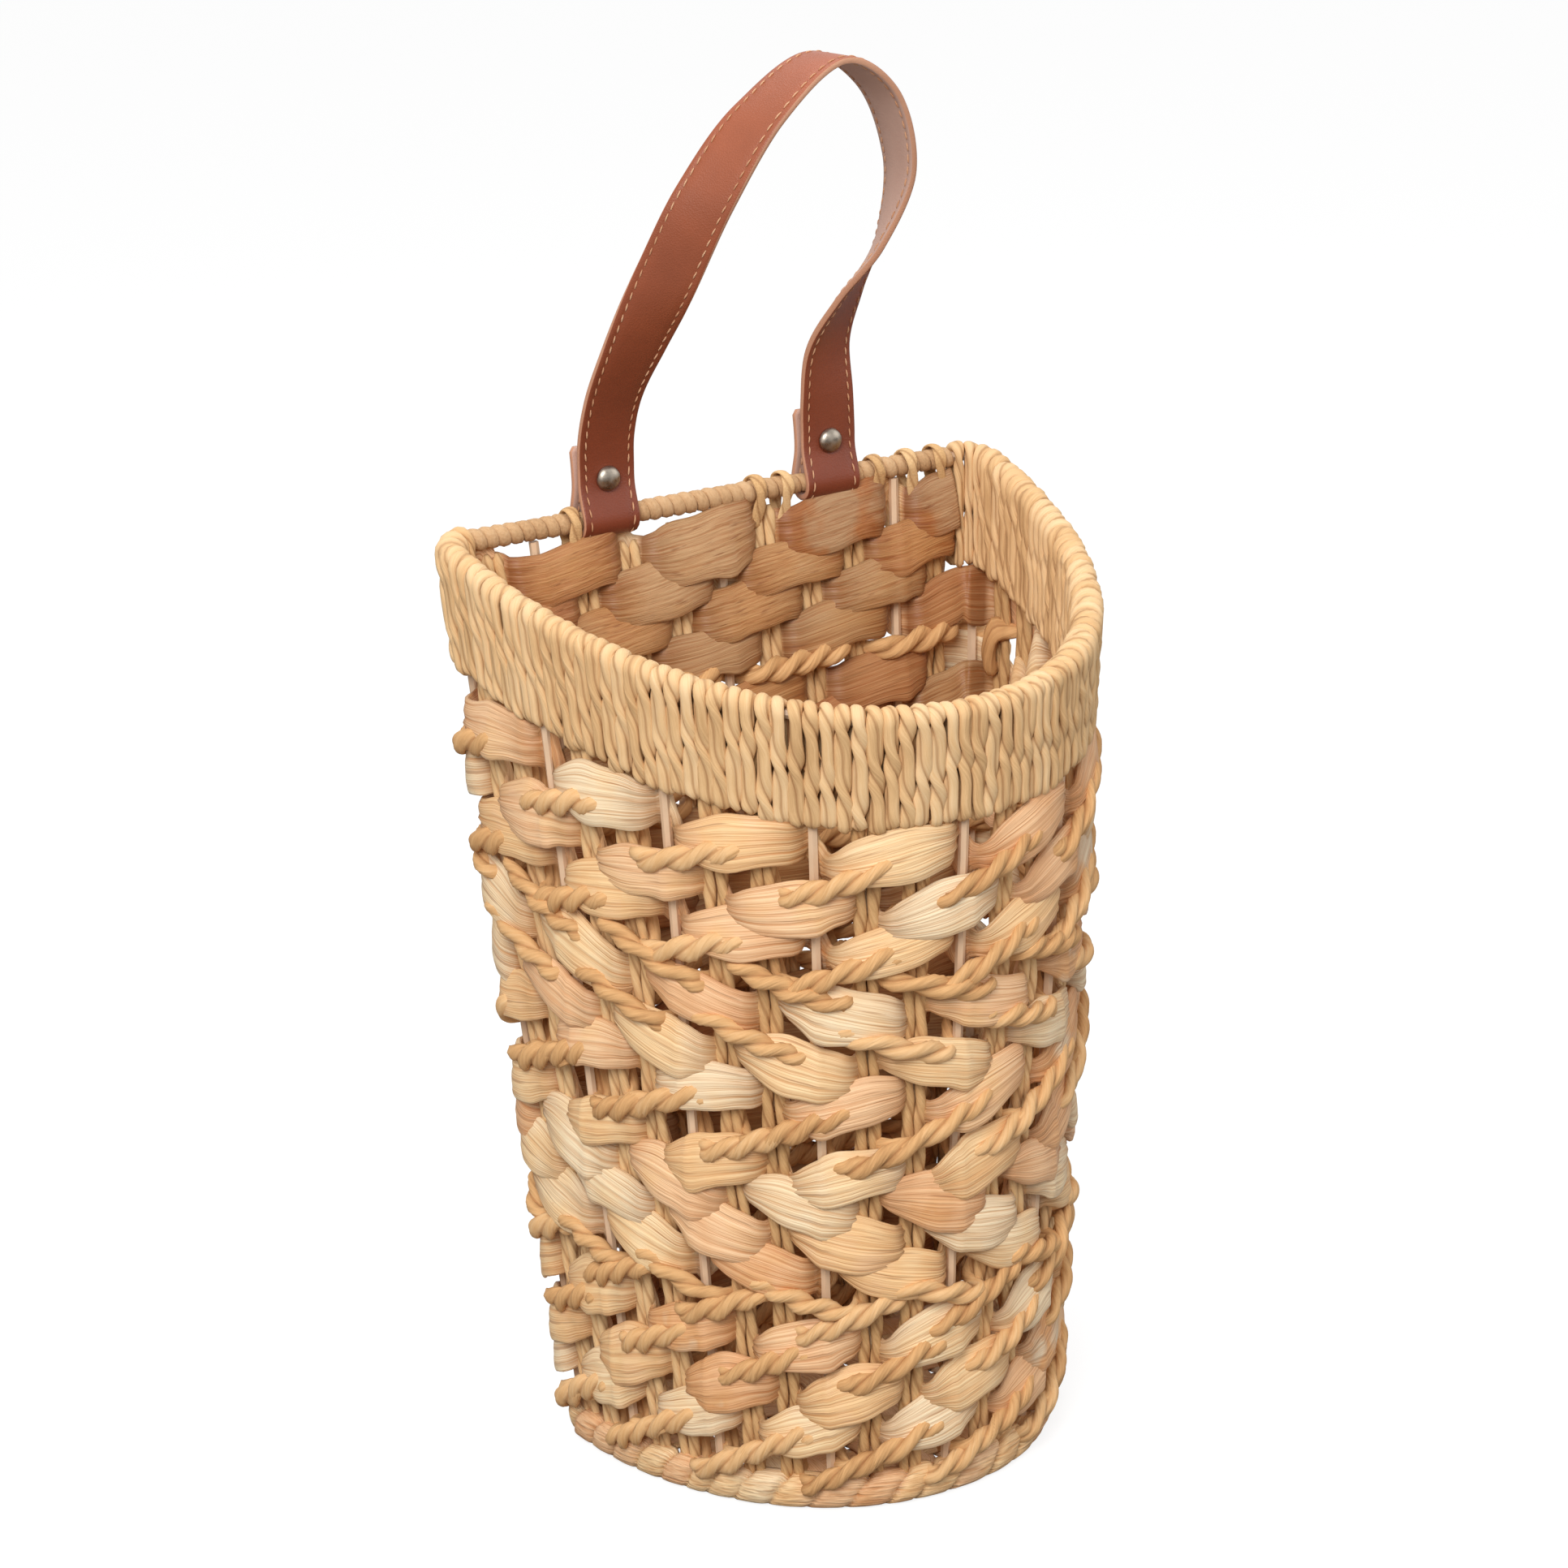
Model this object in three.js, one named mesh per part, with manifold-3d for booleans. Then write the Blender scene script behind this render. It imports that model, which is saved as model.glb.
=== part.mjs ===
// A half-round wall basket, woven on a steel wire frame, with a leather strap looped round its back bar.
// Millimetres, +Z up. The basket stands on its base, its back towards +Y and its round front towards -Y.
// The origin lies on the floor, under the middle of the whole object.
import * as THREE from 'three';
import { mergeVertices } from 'three/addons/utils/BufferGeometryUtils.js';
import Module from 'manifold-3d';

// The wall's middle line, from above: a straight back and a round front, smaller at the base
const RIM_WIDTH = 252;
const RIM_DEPTH = 187;
const ROUNDNESS = 2.1; // 2 is an ellipse, more is squarer
const CORNER_RADIUS = 13;
const TAPER = 27; // how far the wall comes in on every side, from rim to base
const BAR_HEIGHT = 382; // middle of the back bar above the floor
const FRONT_DIP = 45; // how far the front of the rim lies below the back bar
const CORNER_STEPS = 4; // facets of a ring in each corner
const FRONT_STEPS = 22; // and round the front

// The wire frame
const WIRE = 4; // diameter
const FRONT_WIRES = 9; // uprights on the round front, both corners among them
const BACK_WIRES = 3;
const BACK_WIRE_SPACING = 85;
const SEAM = 0.4; // where a bent ring's two ends meet

// Fits
const CLEAR = 0.3; // between pieces that touch
const WEAVE_CLEAR = 0.5; // between a weaver and the upright that it passes

// The weave: flat hyacinth strands and twisted cords, from the base up
const WEAVER_THICKNESS = 4.5;
const COURSES = 'CCHHCHCCHHHHCCHHCHCCHHCH';
const STRAND_SHARE = { H: 14.5, C: 8.5 }; // height of a course of each kind
const BACK_ROWS = 'HHH'; // the back carries on upwards beside the front's band
const ROW_DROP = 10.5; // from the bar's middle down to the top row

// The band of cords that is folded over the front rim
const BAND_HEIGHT = 44; // from the rim wire's middle down
const BAND_CORD = 3.5; // thickness of each of its two sides
const BAND_CREST = 0.6; // share of its thickness that is flat on top

// The cord wound on the back bar
const WRAP_WIDTH = 5;
const WRAP_THICKNESS = 2.2;
const WRAP_PITCH = 5.5;
const WRAP_STEPS = 12; // to a turn

// The base: a bound rim that the basket stands on, and a woven floor
const BINDING_HEIGHT = 15;
const BINDING_LEAF = 3.5;
const BINDING_INNER_HEIGHT = 9;
const BASE_WIRE_HEIGHT = 6; // middle of the base wire above the floor
const FLOOR_THICKNESS = 5.5;
const FLOOR_RIM = 2.5; // its thickness beside the uprights

// The leather strap, its loops and its rivets
const STRAP_WIDTH = 25;
const STRAP_THICKNESS = 2.8;
const LOOP_PLACE = 52; // each loop's middle from the middle of the bar
const RIVET_RISE = 17; // above the bar's middle
const TAIL_RISE = 30;
const PINCH = 2.8; // from the rivet's middle to the middle of the leather on either side
const FLAT_HALF = 4; // the leather lies flat this far above and below a rivet
const STRAP_STEP = 8; // longest facet along the strap
const HOLE_SIDES = 10;
const CAP_DIAMETER = 10.5;
const CAP_DOME = 3;
const POST_DIAMETER = 4;
const BACK_CAP_DIAMETER = 9;
const BACK_CAP_THICKNESS = 2;
const RIVET_SIDES = 16;

// The strap's middle line from the left rivet over the crown to the right one, measured from the bar's
// middle: across, forward, up, and how far the leather has turned about the upright, in degrees.
// The photograph shows each leg turning a quarter, and the crown leaning forward and to the right.
const STRAP_ROUTE = [
  [-53, -6, 34, 0], [-53, -14, 52, -3], [-50, -28, 75, -18], [-44.5, -46, 104, -44],
  [-34, -60, 136, -55], [-13, -67.5, 167, -66], [20, -64, 185, -80], [46, -58, 170, -85],
  [60, -50, 138, -95], [58.5, -37, 106, -118], [53, -20, 80, -144], [50, -8, 58, -163], [51, -4.5, 36, -177],
];

const wasm = await Module();
wasm.setup();

const barRadius = WIRE / 2 + CLEAR + WRAP_THICKNESS;
const loopRadius = barRadius + CLEAR + STRAP_THICKNESS / 2;
const weaveSwing = WIRE / 2 + WEAVE_CLEAR + WEAVER_THICKNESS / 2;
const bandHalf = WIRE / 2 + CLEAR + BAND_CORD;
const straightHalf = RIM_WIDTH / 2 - CORNER_RADIUS;
const frontReach = RIM_DEPTH + bandHalf;
const backReach = loopRadius + STRAP_THICKNESS / 2;

const basket = new THREE.Group();
basket.position.y = (frontReach - backReach) / 2;

const steel = new THREE.MeshStandardMaterial({ color: 0xcdb59a, roughness: 0.5, metalness: 0.2 });
const hyacinth = new THREE.MeshStandardMaterial({ color: 0xd2ab78, roughness: 0.8 });
const twistedCord = new THREE.MeshStandardMaterial({ color: 0xc49a5e, roughness: 0.85 });
const paperCord = new THREE.MeshStandardMaterial({ color: 0xcda873, roughness: 0.85 });
const leather = new THREE.MeshStandardMaterial({ color: 0x9a5233, roughness: 0.55 });
const nickel = new THREE.MeshStandardMaterial({ color: 0x9c9488, roughness: 0.3, metalness: 0.9 });

function add(name, geometry, material) {
  const mesh = new THREE.Mesh(geometry, material);
  mesh.name = name;
  basket.add(mesh);
  return mesh;
}

// A path that hands an extrusion its own stations: a point with the way its section's two axes point
class Stations extends THREE.Curve {
  constructor(stations) {
    super();
    this.stations = stations;
  }
  getPoint(share) {
    return this.stations[Math.round(share * (this.stations.length - 1))].at.clone();
  }
  getSpacedPoints() {
    return this.stations.map((station) => station.at.clone());
  }
  computeFrenetFrames() {
    const sides = this.stations.map((station) => station.side);
    const ups = this.stations.map((station) => station.up);
    return { tangents: ups, normals: sides, binormals: ups };
  }
}

function sweep(section, stations) {
  const shape = new THREE.Shape(section.map(([side, up]) => new THREE.Vector2(side, up)));
  const extrudePath = new Stations(stations);
  return new THREE.ExtrudeGeometry(shape, { steps: stations.length - 1, extrudePath });
}

function roundSection(diameter, sides) {
  const corners = [...Array(sides).keys()].map((i) => (2 * Math.PI * i) / sides);
  return corners.map((angle) => [Math.cos(angle) * diameter / 2, Math.sin(angle) * diameter / 2]);
}

// Plan of the rim: from the back's left end along the back, round the right corner and the front
function drawOutline() {
  const outline = new THREE.Path();
  const side = RIM_WIDTH / 2;
  const first = Math.asin((CORNER_RADIUS / RIM_DEPTH) ** (ROUNDNESS / 2));
  const bends = 24;
  const front = [];
  for (let i = 1; i < bends; i++) {
    const angle = first + ((Math.PI - 2 * first) * i) / bends;
    const across = Math.sign(Math.cos(angle)) * Math.abs(Math.cos(angle)) ** (2 / ROUNDNESS);
    front.push(new THREE.Vector2(side * across, -RIM_DEPTH * Math.sin(angle) ** (2 / ROUNDNESS)));
  }
  outline.moveTo(-straightHalf, 0);
  outline.lineTo(straightHalf, 0);
  outline.absarc(straightHalf, -CORNER_RADIUS, CORNER_RADIUS, Math.PI / 2, 0, true);
  outline.splineThru([...front, new THREE.Vector2(-side, -CORNER_RADIUS)]);
  outline.absarc(-straightHalf, -CORNER_RADIUS, CORNER_RADIUS, Math.PI, Math.PI / 2, true);
  return outline;
}

const outline = drawOutline();
const lap = outline.getLength();
const cornerLength = (Math.PI / 2) * CORNER_RADIUS;
const halfCorner = cornerLength / 2 / lap; // half of a corner, as a share of the lap
const frontStart = (2 * straightHalf) / lap + halfCorner; // share of the lap at the right corner
const frontEnd = 1 - halfCorner;

// A rim point carried down the slanting wall: up is 0 at the base wire and 1 at the rim wire
function carry(x, y, up) {
  const inset = TAPER * (1 - up);
  const rise = BAR_HEIGHT - BASE_WIRE_HEIGHT - FRONT_DIP * (-y / RIM_DEPTH);
  const across = x * (1 - (2 * inset) / RIM_WIDTH);
  const forward = y * (1 - (2 * inset) / RIM_DEPTH) - inset;
  return new THREE.Vector3(across, forward, BASE_WIRE_HEIGHT + rise * up);
}

function wallPoint(lapShare, up) {
  const point = outline.getPoint(THREE.MathUtils.euclideanModulo(lapShare, 1));
  return carry(point.x, point.y, up);
}

// The way out of the wall, level, at a share of the lap
function wayOut(lapShare, up) {
  const step = 0.001;
  const along = wallPoint(lapShare + step, up).sub(wallPoint(lapShare - step, up));
  return new THREE.Vector3(-along.y, along.x, 0).normalize();
}

// Up the wall's slant, one millimetre of height at a time
function slant(lapShare) {
  const line = wallPoint(lapShare, 1).sub(wallPoint(lapShare, 0));
  return line.divideScalar(line.z);
}

function lapStations(from, to, count, up) {
  const shares = [...Array(count + 1).keys()].map((i) => from + ((to - from) * i) / count);
  return shares.map((share) => ({
    at: wallPoint(share, up), side: wayOut(share, up), up: slant(share),
  }));
}

// Stations for one whole ring, close together in the corners, its ends meeting at the middle of the back
function ringStations(up) {
  const middle = straightHalf / lap;
  const seam = SEAM / 2 / lap;
  return [
    { at: wallPoint(middle + seam, up), side: wayOut(middle, up), up: slant(middle) },
    ...lapStations(frontStart - halfCorner, frontStart + halfCorner, CORNER_STEPS, up),
    ...lapStations(frontStart + halfCorner, frontEnd - halfCorner, FRONT_STEPS, up).slice(1),
    ...lapStations(frontEnd - halfCorner, frontEnd + halfCorner, CORNER_STEPS, up).slice(1),
    { at: wallPoint(middle - seam, up), side: wayOut(middle, up), up: slant(middle) },
  ];
}

const wireSection = roundSection(WIRE, 6);
add('rim_wire', sweep(wireSection, ringStations(1)), steel);
add('base_wire', sweep(wireSection, ringStations(0)), steel);

// Uprights, as shares of the lap: along the back from its left end, then round the front
const wireShares = [];
for (let i = 0; i < BACK_WIRES; i++) {
  const across = (i - (BACK_WIRES - 1) / 2) * BACK_WIRE_SPACING;
  wireShares.push((across + straightHalf) / lap);
}
for (let i = 0; i < FRONT_WIRES; i++) {
  wireShares.push(frontStart + ((frontEnd - frontStart) * i) / (FRONT_WIRES - 1));
}

function addUpright(name, share, topGap) {
  const line = slant(share);
  const low = wallPoint(share, 0).addScaledVector(line, WIRE / 2 + CLEAR);
  const high = wallPoint(share, 1).addScaledVector(line, -topGap);
  const side = wayOut(share, 0.5);
  const up = new THREE.Vector3().crossVectors(line, side).normalize();
  const stations = [low, high].map((at) => ({ at, side, up }));
  add(name, sweep(wireSection, stations), steel);
}

wireShares.forEach((share, i) => {
  const atBack = i < BACK_WIRES;
  const name = atBack ? `back_wire_${i + 1}` : `front_wire_${i - BACK_WIRES + 1}`;
  addUpright(name, share, atBack ? barRadius + CLEAR : WIRE / 2 + CLEAR);
});

// A weaver swings out past one upright and in past the next
function weaveOffset(share, course) {
  const last = wireShares.length;
  for (let i = 0; i < last; i++) {
    const start = wireShares[i];
    const end = i + 1 < last ? wireShares[i + 1] : wireShares[0] + 1;
    const place = share < start ? share + 1 : share;
    if (place >= start && place <= end) {
      const turn = (i + course) % 2 ? -1 : 1;
      return turn * weaveSwing * Math.cos((Math.PI * (place - start)) / (end - start));
    }
  }
  return 0;
}

// Shares of the lap where a weaver bends: at each upright, twice in between, and beside the corners
function bendShares() {
  const shares = [];
  wireShares.forEach((start, i) => {
    const end = i + 1 < wireShares.length ? wireShares[i + 1] : wireShares[0] + 1;
    [0, 1 / 3, 2 / 3].forEach((part) => shares.push((start + (end - start) * part) % 1));
  });
  [frontStart, frontEnd].forEach((share) => shares.push(share - halfCorner, (share + halfCorner) % 1));
  return shares.sort((a, b) => a - b);
}

function planPoint(share, up, out) {
  const point = wallPoint(share, up).addScaledVector(wayOut(share, up), out);
  return new THREE.Vector2(point.x, point.y);
}

// An upright slice of the wall between two heights, bent to its slant and its dip
function layInWall(geometry, low, high) {
  const middle = (low + high) / 2;
  const inset = TAPER * (1 - middle);
  const places = geometry.attributes.position;
  for (let i = 0; i < places.count; i++) {
    const x = places.getX(i) / (1 - (2 * inset) / RIM_WIDTH);
    const y = (places.getY(i) + inset) / (1 - (2 * inset) / RIM_DEPTH);
    const point = carry(x, y, places.getZ(i) > 0.5 ? high : low);
    places.setXYZ(i, point.x, point.y, point.z);
  }
  return geometry;
}

function courseRing(low, high, course) {
  const middle = (low + high) / 2;
  const side = (out) => bendShares().map(
    (share) => planPoint(share, middle, weaveOffset(share, course) + out),
  );
  const plan = new THREE.Shape(side(WEAVER_THICKNESS / 2).reverse());
  plan.holes.push(new THREE.Path(side(-WEAVER_THICKNESS / 2)));
  return layInWall(new THREE.ExtrudeGeometry(plan, { depth: 1, bevelEnabled: false }), low, high);
}

function backRow(low, high, course) {
  const middle = (low + high) / 2;
  const start = SEAM / lap;
  const end = (2 * straightHalf) / lap - start;
  const shares = [start, ...bendShares().filter((share) => share > start && share < end), end];
  const side = (out) => shares.map(
    (share) => planPoint(share, middle, weaveOffset(share, course) + out),
  );
  const plan = new THREE.Shape([...side(WEAVER_THICKNESS / 2), ...side(-WEAVER_THICKNESS / 2).reverse()]);
  return layInWall(new THREE.ExtrudeGeometry(plan, { depth: 1, bevelEnabled: false }), low, high);
}

// Stacks courses of both kinds between two heights
function stack(kinds, from, to, build) {
  const total = [...kinds].reduce((sum, kind) => sum + STRAND_SHARE[kind], 0);
  const gap = (CLEAR / 2) / (BAR_HEIGHT - BASE_WIRE_HEIGHT - FRONT_DIP);
  let low = from;
  [...kinds].forEach((kind, i) => {
    const high = low + ((to - from) * STRAND_SHARE[kind]) / total;
    build(kind, low + gap, high - gap, i);
    low = high;
  });
}

const frontRise = BAR_HEIGHT - BASE_WIRE_HEIGHT - FRONT_DIP;
const backRise = BAR_HEIGHT - BASE_WIRE_HEIGHT;
const weaveLow = (BINDING_HEIGHT - BASE_WIRE_HEIGHT + CLEAR) / frontRise;
// A course's inner side rides higher than its middle, because the courses dip forward with the rim
const ride = (weaveSwing + WEAVER_THICKNESS / 2) * (FRONT_DIP / RIM_DEPTH);
const weaveHigh = (frontRise - BAND_HEIGHT - ride - CLEAR) / frontRise;
const rowsHigh = (backRise - ROW_DROP) / backRise;
const kindNames = { H: 'hyacinth', C: 'cord' };
const kindMaterials = { H: hyacinth, C: twistedCord };

stack(COURSES, weaveLow, weaveHigh, (kind, low, high, i) => {
  const number = String(i + 1).padStart(2, '0');
  add(`course_${number}_${kindNames[kind]}`, courseRing(low, high, i), kindMaterials[kind]);
});
stack(BACK_ROWS, weaveHigh, rowsHigh, (kind, low, high, i) => {
  add(`back_row_${i + 1}_${kindNames[kind]}`, backRow(low, high, COURSES.length + i), kindMaterials[kind]);
});

// The folded band: an upside-down channel over the rim wire, from corner to corner
function foldedBand() {
  const slot = WIRE / 2 + CLEAR;
  const crown = slot + BAND_CORD;
  const flat = crown * BAND_CREST;
  const shoulder = flat / 2;
  const section = [
    [-crown, -BAND_HEIGHT], [-slot, -BAND_HEIGHT], [-slot, slot], [slot, slot], [slot, -BAND_HEIGHT],
    [crown, -BAND_HEIGHT], [crown, shoulder], [flat, crown], [-flat, crown], [-crown, shoulder],
  ];
  const seam = SEAM / lap;
  return sweep(section, [
    ...lapStations(frontStart - halfCorner + seam, frontStart + halfCorner, CORNER_STEPS, 1),
    ...lapStations(frontStart + halfCorner, frontEnd - halfCorner, FRONT_STEPS, 1).slice(1),
    ...lapStations(frontEnd - halfCorner, frontEnd + halfCorner - seam, CORNER_STEPS, 1).slice(1),
  ]);
}
add('front_band', foldedBand(), paperCord);

// The base binding: a channel with a flat foot, round the base wire and the uprights' lower ends
function baseBinding() {
  const slot = WIRE / 2 + CLEAR;
  const outer = slot + BINDING_LEAF;
  const foot = -BASE_WIRE_HEIGHT;
  const section = [
    [-outer, foot], [outer, foot], [outer, BINDING_HEIGHT + foot], [slot, BINDING_HEIGHT + foot],
    [slot, -slot], [-slot, -slot], [-slot, BINDING_INNER_HEIGHT + foot],
    [-outer, BINDING_INNER_HEIGHT + foot],
  ];
  return sweep(section, ringStations(0));
}
add('base_binding', baseBinding(), hyacinth);

// The floor lies on the binding's inner side. Its thin rim reaches out to the uprights, and its thick
// middle stays inside the first course, so that nothing hangs over its top.
function floorPlate(inward, thickness) {
  const level = (BINDING_INNER_HEIGHT - BASE_WIRE_HEIGHT) / backRise;
  const edge = bendShares().map((share) => planPoint(share, level, -inward));
  const plate = new THREE.ExtrudeGeometry(new THREE.Shape(edge), { depth: thickness, bevelEnabled: false });
  return solidOf(plate.translate(0, 0, BINDING_INNER_HEIGHT + CLEAR));
}
const floorRim = floorPlate(WIRE / 2 + WEAVE_CLEAR, FLOOR_RIM);
const floorMiddle = floorPlate(weaveSwing + WEAVER_THICKNESS / 2 + CLEAR, FLOOR_THICKNESS);
add('woven_floor', geometryOf(floorRim.add(floorMiddle)), hyacinth);

// The cord wound round the back bar, in three lengths that meet under the strap's loops
function winding(from, to) {
  const turns = Math.floor((to - from) / WRAP_PITCH);
  const steps = turns * WRAP_STEPS;
  const start = (from + to - turns * WRAP_PITCH) / 2;
  const middleRadius = WIRE / 2 + CLEAR + WRAP_THICKNESS / 2;
  const stations = [...Array(steps + 1).keys()].map((i) => {
    const angle = (2 * Math.PI * i) / WRAP_STEPS;
    const up = new THREE.Vector3(0, Math.cos(angle), Math.sin(angle));
    const at = up.clone().multiplyScalar(middleRadius);
    at.x = start + (WRAP_PITCH * i) / WRAP_STEPS;
    at.z += BAR_HEIGHT;
    return { at, side: new THREE.Vector3(1, 0, 0), up };
  });
  return { section: roundSection(1, 6).map(([a, b]) => [a * WRAP_WIDTH, b * WRAP_THICKNESS]), stations };
}

// Least distance between the section's points on one turn and those on the next
function leastGap({ section, stations }) {
  const points = stations.map(({ at, side, up }) => section.map(
    ([a, b]) => at.clone().addScaledVector(side, a).addScaledVector(up, b),
  ));
  let least = Infinity;
  for (let i = 0; i + WRAP_STEPS < points.length; i++) {
    for (const near of points[i]) {
      for (const far of points[i + WRAP_STEPS]) least = Math.min(least, near.distanceTo(far));
    }
  }
  return least;
}

const barEnd = straightHalf - WRAP_WIDTH / 2;
const wraps = {
  left: [-barEnd, -LOOP_PLACE], middle: [-LOOP_PLACE, LOOP_PLACE], right: [LOOP_PLACE, barEnd],
};
for (const [name, [from, to]] of Object.entries(wraps)) {
  const wound = winding(from, to);
  console.log(`bar_wrap_${name}: least gap between turns ${leastGap(wound).toFixed(2)} mm`);
  add(`bar_wrap_${name}`, sweep(wound.section, wound.stations), paperCord);
}

// The strap: tail, loop round the bar, leg, crown, leg, loop and tail, in one length of leather
function strapRoute() {
  const bends = 8;
  const loop = [...Array(bends + 1).keys()].map((i) => {
    const angle = -(Math.PI * i) / bends;
    return [-LOOP_PLACE, loopRadius * Math.cos(angle), loopRadius * Math.sin(angle), 0];
  });
  const left = [
    [-LOOP_PLACE, PINCH + 1, TAIL_RISE, 0], [-LOOP_PLACE, PINCH, RIVET_RISE + FLAT_HALF, 0],
    [-LOOP_PLACE, PINCH, RIVET_RISE - FLAT_HALF, 0], ...loop,
    [-LOOP_PLACE, -PINCH, RIVET_RISE - FLAT_HALF, 0], [-LOOP_PLACE, -PINCH, RIVET_RISE + FLAT_HALF, 0],
  ];
  const right = left.map(([x, y, z]) => [-x, y, z, -180]).reverse();
  return [...left, ...STRAP_ROUTE, ...right];
}

function strapStations() {
  const route = strapRoute();
  const line = new THREE.CatmullRomCurve3(
    route.map(([x, y, z]) => new THREE.Vector3(x, y, BAR_HEIGHT + z)), false, 'centripetal',
  );
  const turns = new THREE.SplineCurve(route.map((point, i) => new THREE.Vector2(i, point[3])));
  const stations = [];
  const spans = route.length - 1;
  for (let span = 0; span < spans; span++) {
    const reach = line.points[span].distanceTo(line.points[span + 1]);
    const pieces = reach > 2 * STRAP_THICKNESS ? Math.ceil(reach / STRAP_STEP) : 1;
    for (let piece = 0; piece < pieces; piece++) stations.push((span + piece / pieces) / spans);
  }
  return [...stations, 1].map((share) => {
    const along = line.getTangent(share);
    const turn = THREE.MathUtils.degToRad(turns.getPoint(share).y);
    const side = new THREE.Vector3(Math.cos(turn), Math.sin(turn), 0);
    side.addScaledVector(along, -side.dot(along)).normalize();
    return { at: line.getPoint(share), side, up: new THREE.Vector3().crossVectors(along, side) };
  });
}

function solidOf(geometry) {
  const bare = geometry.clone();
  bare.deleteAttribute('normal');
  bare.deleteAttribute('uv');
  const merged = mergeVertices(bare, 1e-4);
  return new wasm.Manifold(new wasm.Mesh({
    numProp: 3,
    vertProperties: new Float32Array(merged.attributes.position.array),
    triVerts: new Uint32Array(merged.index.array),
  }));
}

function geometryOf(solid) {
  const mesh = solid.getMesh();
  const geometry = new THREE.BufferGeometry();
  geometry.setAttribute('position', new THREE.BufferAttribute(mesh.vertProperties, 3));
  geometry.setIndex(new THREE.BufferAttribute(mesh.triVerts, 1));
  return geometry;
}

const strapSection = [[-1, -1], [1, -1], [1, 1], [-1, 1]].map(
  ([a, b]) => [(a * STRAP_WIDTH) / 2, (b * STRAP_THICKNESS) / 2],
);
const rivetSides = { left: -LOOP_PLACE, right: LOOP_PLACE };
let strapSolid = solidOf(sweep(strapSection, strapStations()));
for (const across of Object.values(rivetSides)) {
  const reach = 2 * (PINCH + STRAP_THICKNESS);
  const radius = POST_DIAMETER / 2 + CLEAR;
  const hole = new THREE.CylinderGeometry(radius, radius, reach, HOLE_SIDES);
  hole.translate(across, 0, BAR_HEIGHT + RIVET_RISE);
  strapSolid = strapSolid.subtract(solidOf(hole));
}
add('leather_strap', geometryOf(strapSolid), leather);

// Each rivet is a domed cap with its post, and a cap that closes it on the tail's back
const seat = PINCH + STRAP_THICKNESS / 2 + CLEAR;
const postEnd = seat + BACK_CAP_THICKNESS / 2;
const domeCurve = [[0, 1], [0.56, 0.9], [0.88, 0.5], [1, 0.15], [1, 0]]; // shares of radius and rise
const capProfile = domeCurve.map(
  ([out, rise]) => new THREE.Vector2((out * CAP_DIAMETER) / 2, -seat - rise * CAP_DOME),
);
const postProfile = [[POST_DIAMETER / 2, -seat], [POST_DIAMETER / 2, postEnd], [0, postEnd]].map(
  ([radius, along]) => new THREE.Vector2(radius, along),
);
const socket = POST_DIAMETER / 2 + CLEAR;
const backCapProfile = [
  [0, postEnd + CLEAR], [socket, postEnd + CLEAR], [socket, seat], [BACK_CAP_DIAMETER / 2, seat],
  [BACK_CAP_DIAMETER / 2, seat + 0.4 * BACK_CAP_THICKNESS],
  [BACK_CAP_DIAMETER / 3, seat + BACK_CAP_THICKNESS], [0, seat + BACK_CAP_THICKNESS],
].map(([radius, along]) => new THREE.Vector2(radius, along));

for (const [name, across] of Object.entries(rivetSides)) {
  const rivet = new THREE.LatheGeometry([...capProfile, ...postProfile], RIVET_SIDES);
  const backCap = new THREE.LatheGeometry(backCapProfile, RIVET_SIDES);
  add(`rivet_${name}`, rivet.translate(across, 0, BAR_HEIGHT + RIVET_RISE), nickel);
  add(`rivet_back_${name}`, backCap.translate(across, 0, BAR_HEIGHT + RIVET_RISE), nickel);
}

export default basket;
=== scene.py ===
import math
from types import SimpleNamespace
import bmesh
import bpy
import numpy as np
from mathutils import Matrix, Vector


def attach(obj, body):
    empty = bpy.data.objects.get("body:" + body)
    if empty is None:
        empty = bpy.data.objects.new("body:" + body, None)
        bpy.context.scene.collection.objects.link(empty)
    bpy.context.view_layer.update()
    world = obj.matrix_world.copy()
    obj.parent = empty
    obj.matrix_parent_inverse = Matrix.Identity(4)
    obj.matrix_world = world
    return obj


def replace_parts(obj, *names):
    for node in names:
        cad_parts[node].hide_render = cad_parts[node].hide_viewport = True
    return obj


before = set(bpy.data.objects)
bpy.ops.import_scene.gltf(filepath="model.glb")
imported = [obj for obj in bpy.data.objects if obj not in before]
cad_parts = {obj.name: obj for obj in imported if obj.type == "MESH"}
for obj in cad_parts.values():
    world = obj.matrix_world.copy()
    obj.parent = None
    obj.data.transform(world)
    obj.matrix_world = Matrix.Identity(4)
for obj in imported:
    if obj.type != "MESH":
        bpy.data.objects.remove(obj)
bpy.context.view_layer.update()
scene = bpy.context.scene
scene.view_settings.view_transform = "Standard"


# The photographer's place: about 30 degrees to the left of the basket's front and 18 degrees above it,
# 1.74 m away, on a long lens.
CAMERA_TURN, CAMERA_RISE, CAMERA_ROLL = math.radians(-30.01), math.radians(18.31), math.radians(-1.823)
CAMERA_DISTANCE = 1.741
LOOKS_AT = Vector((-0.0072, 0.0326, 0.2761))
LENS_MM, SENSOR_MM = 98.87, 36

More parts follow.
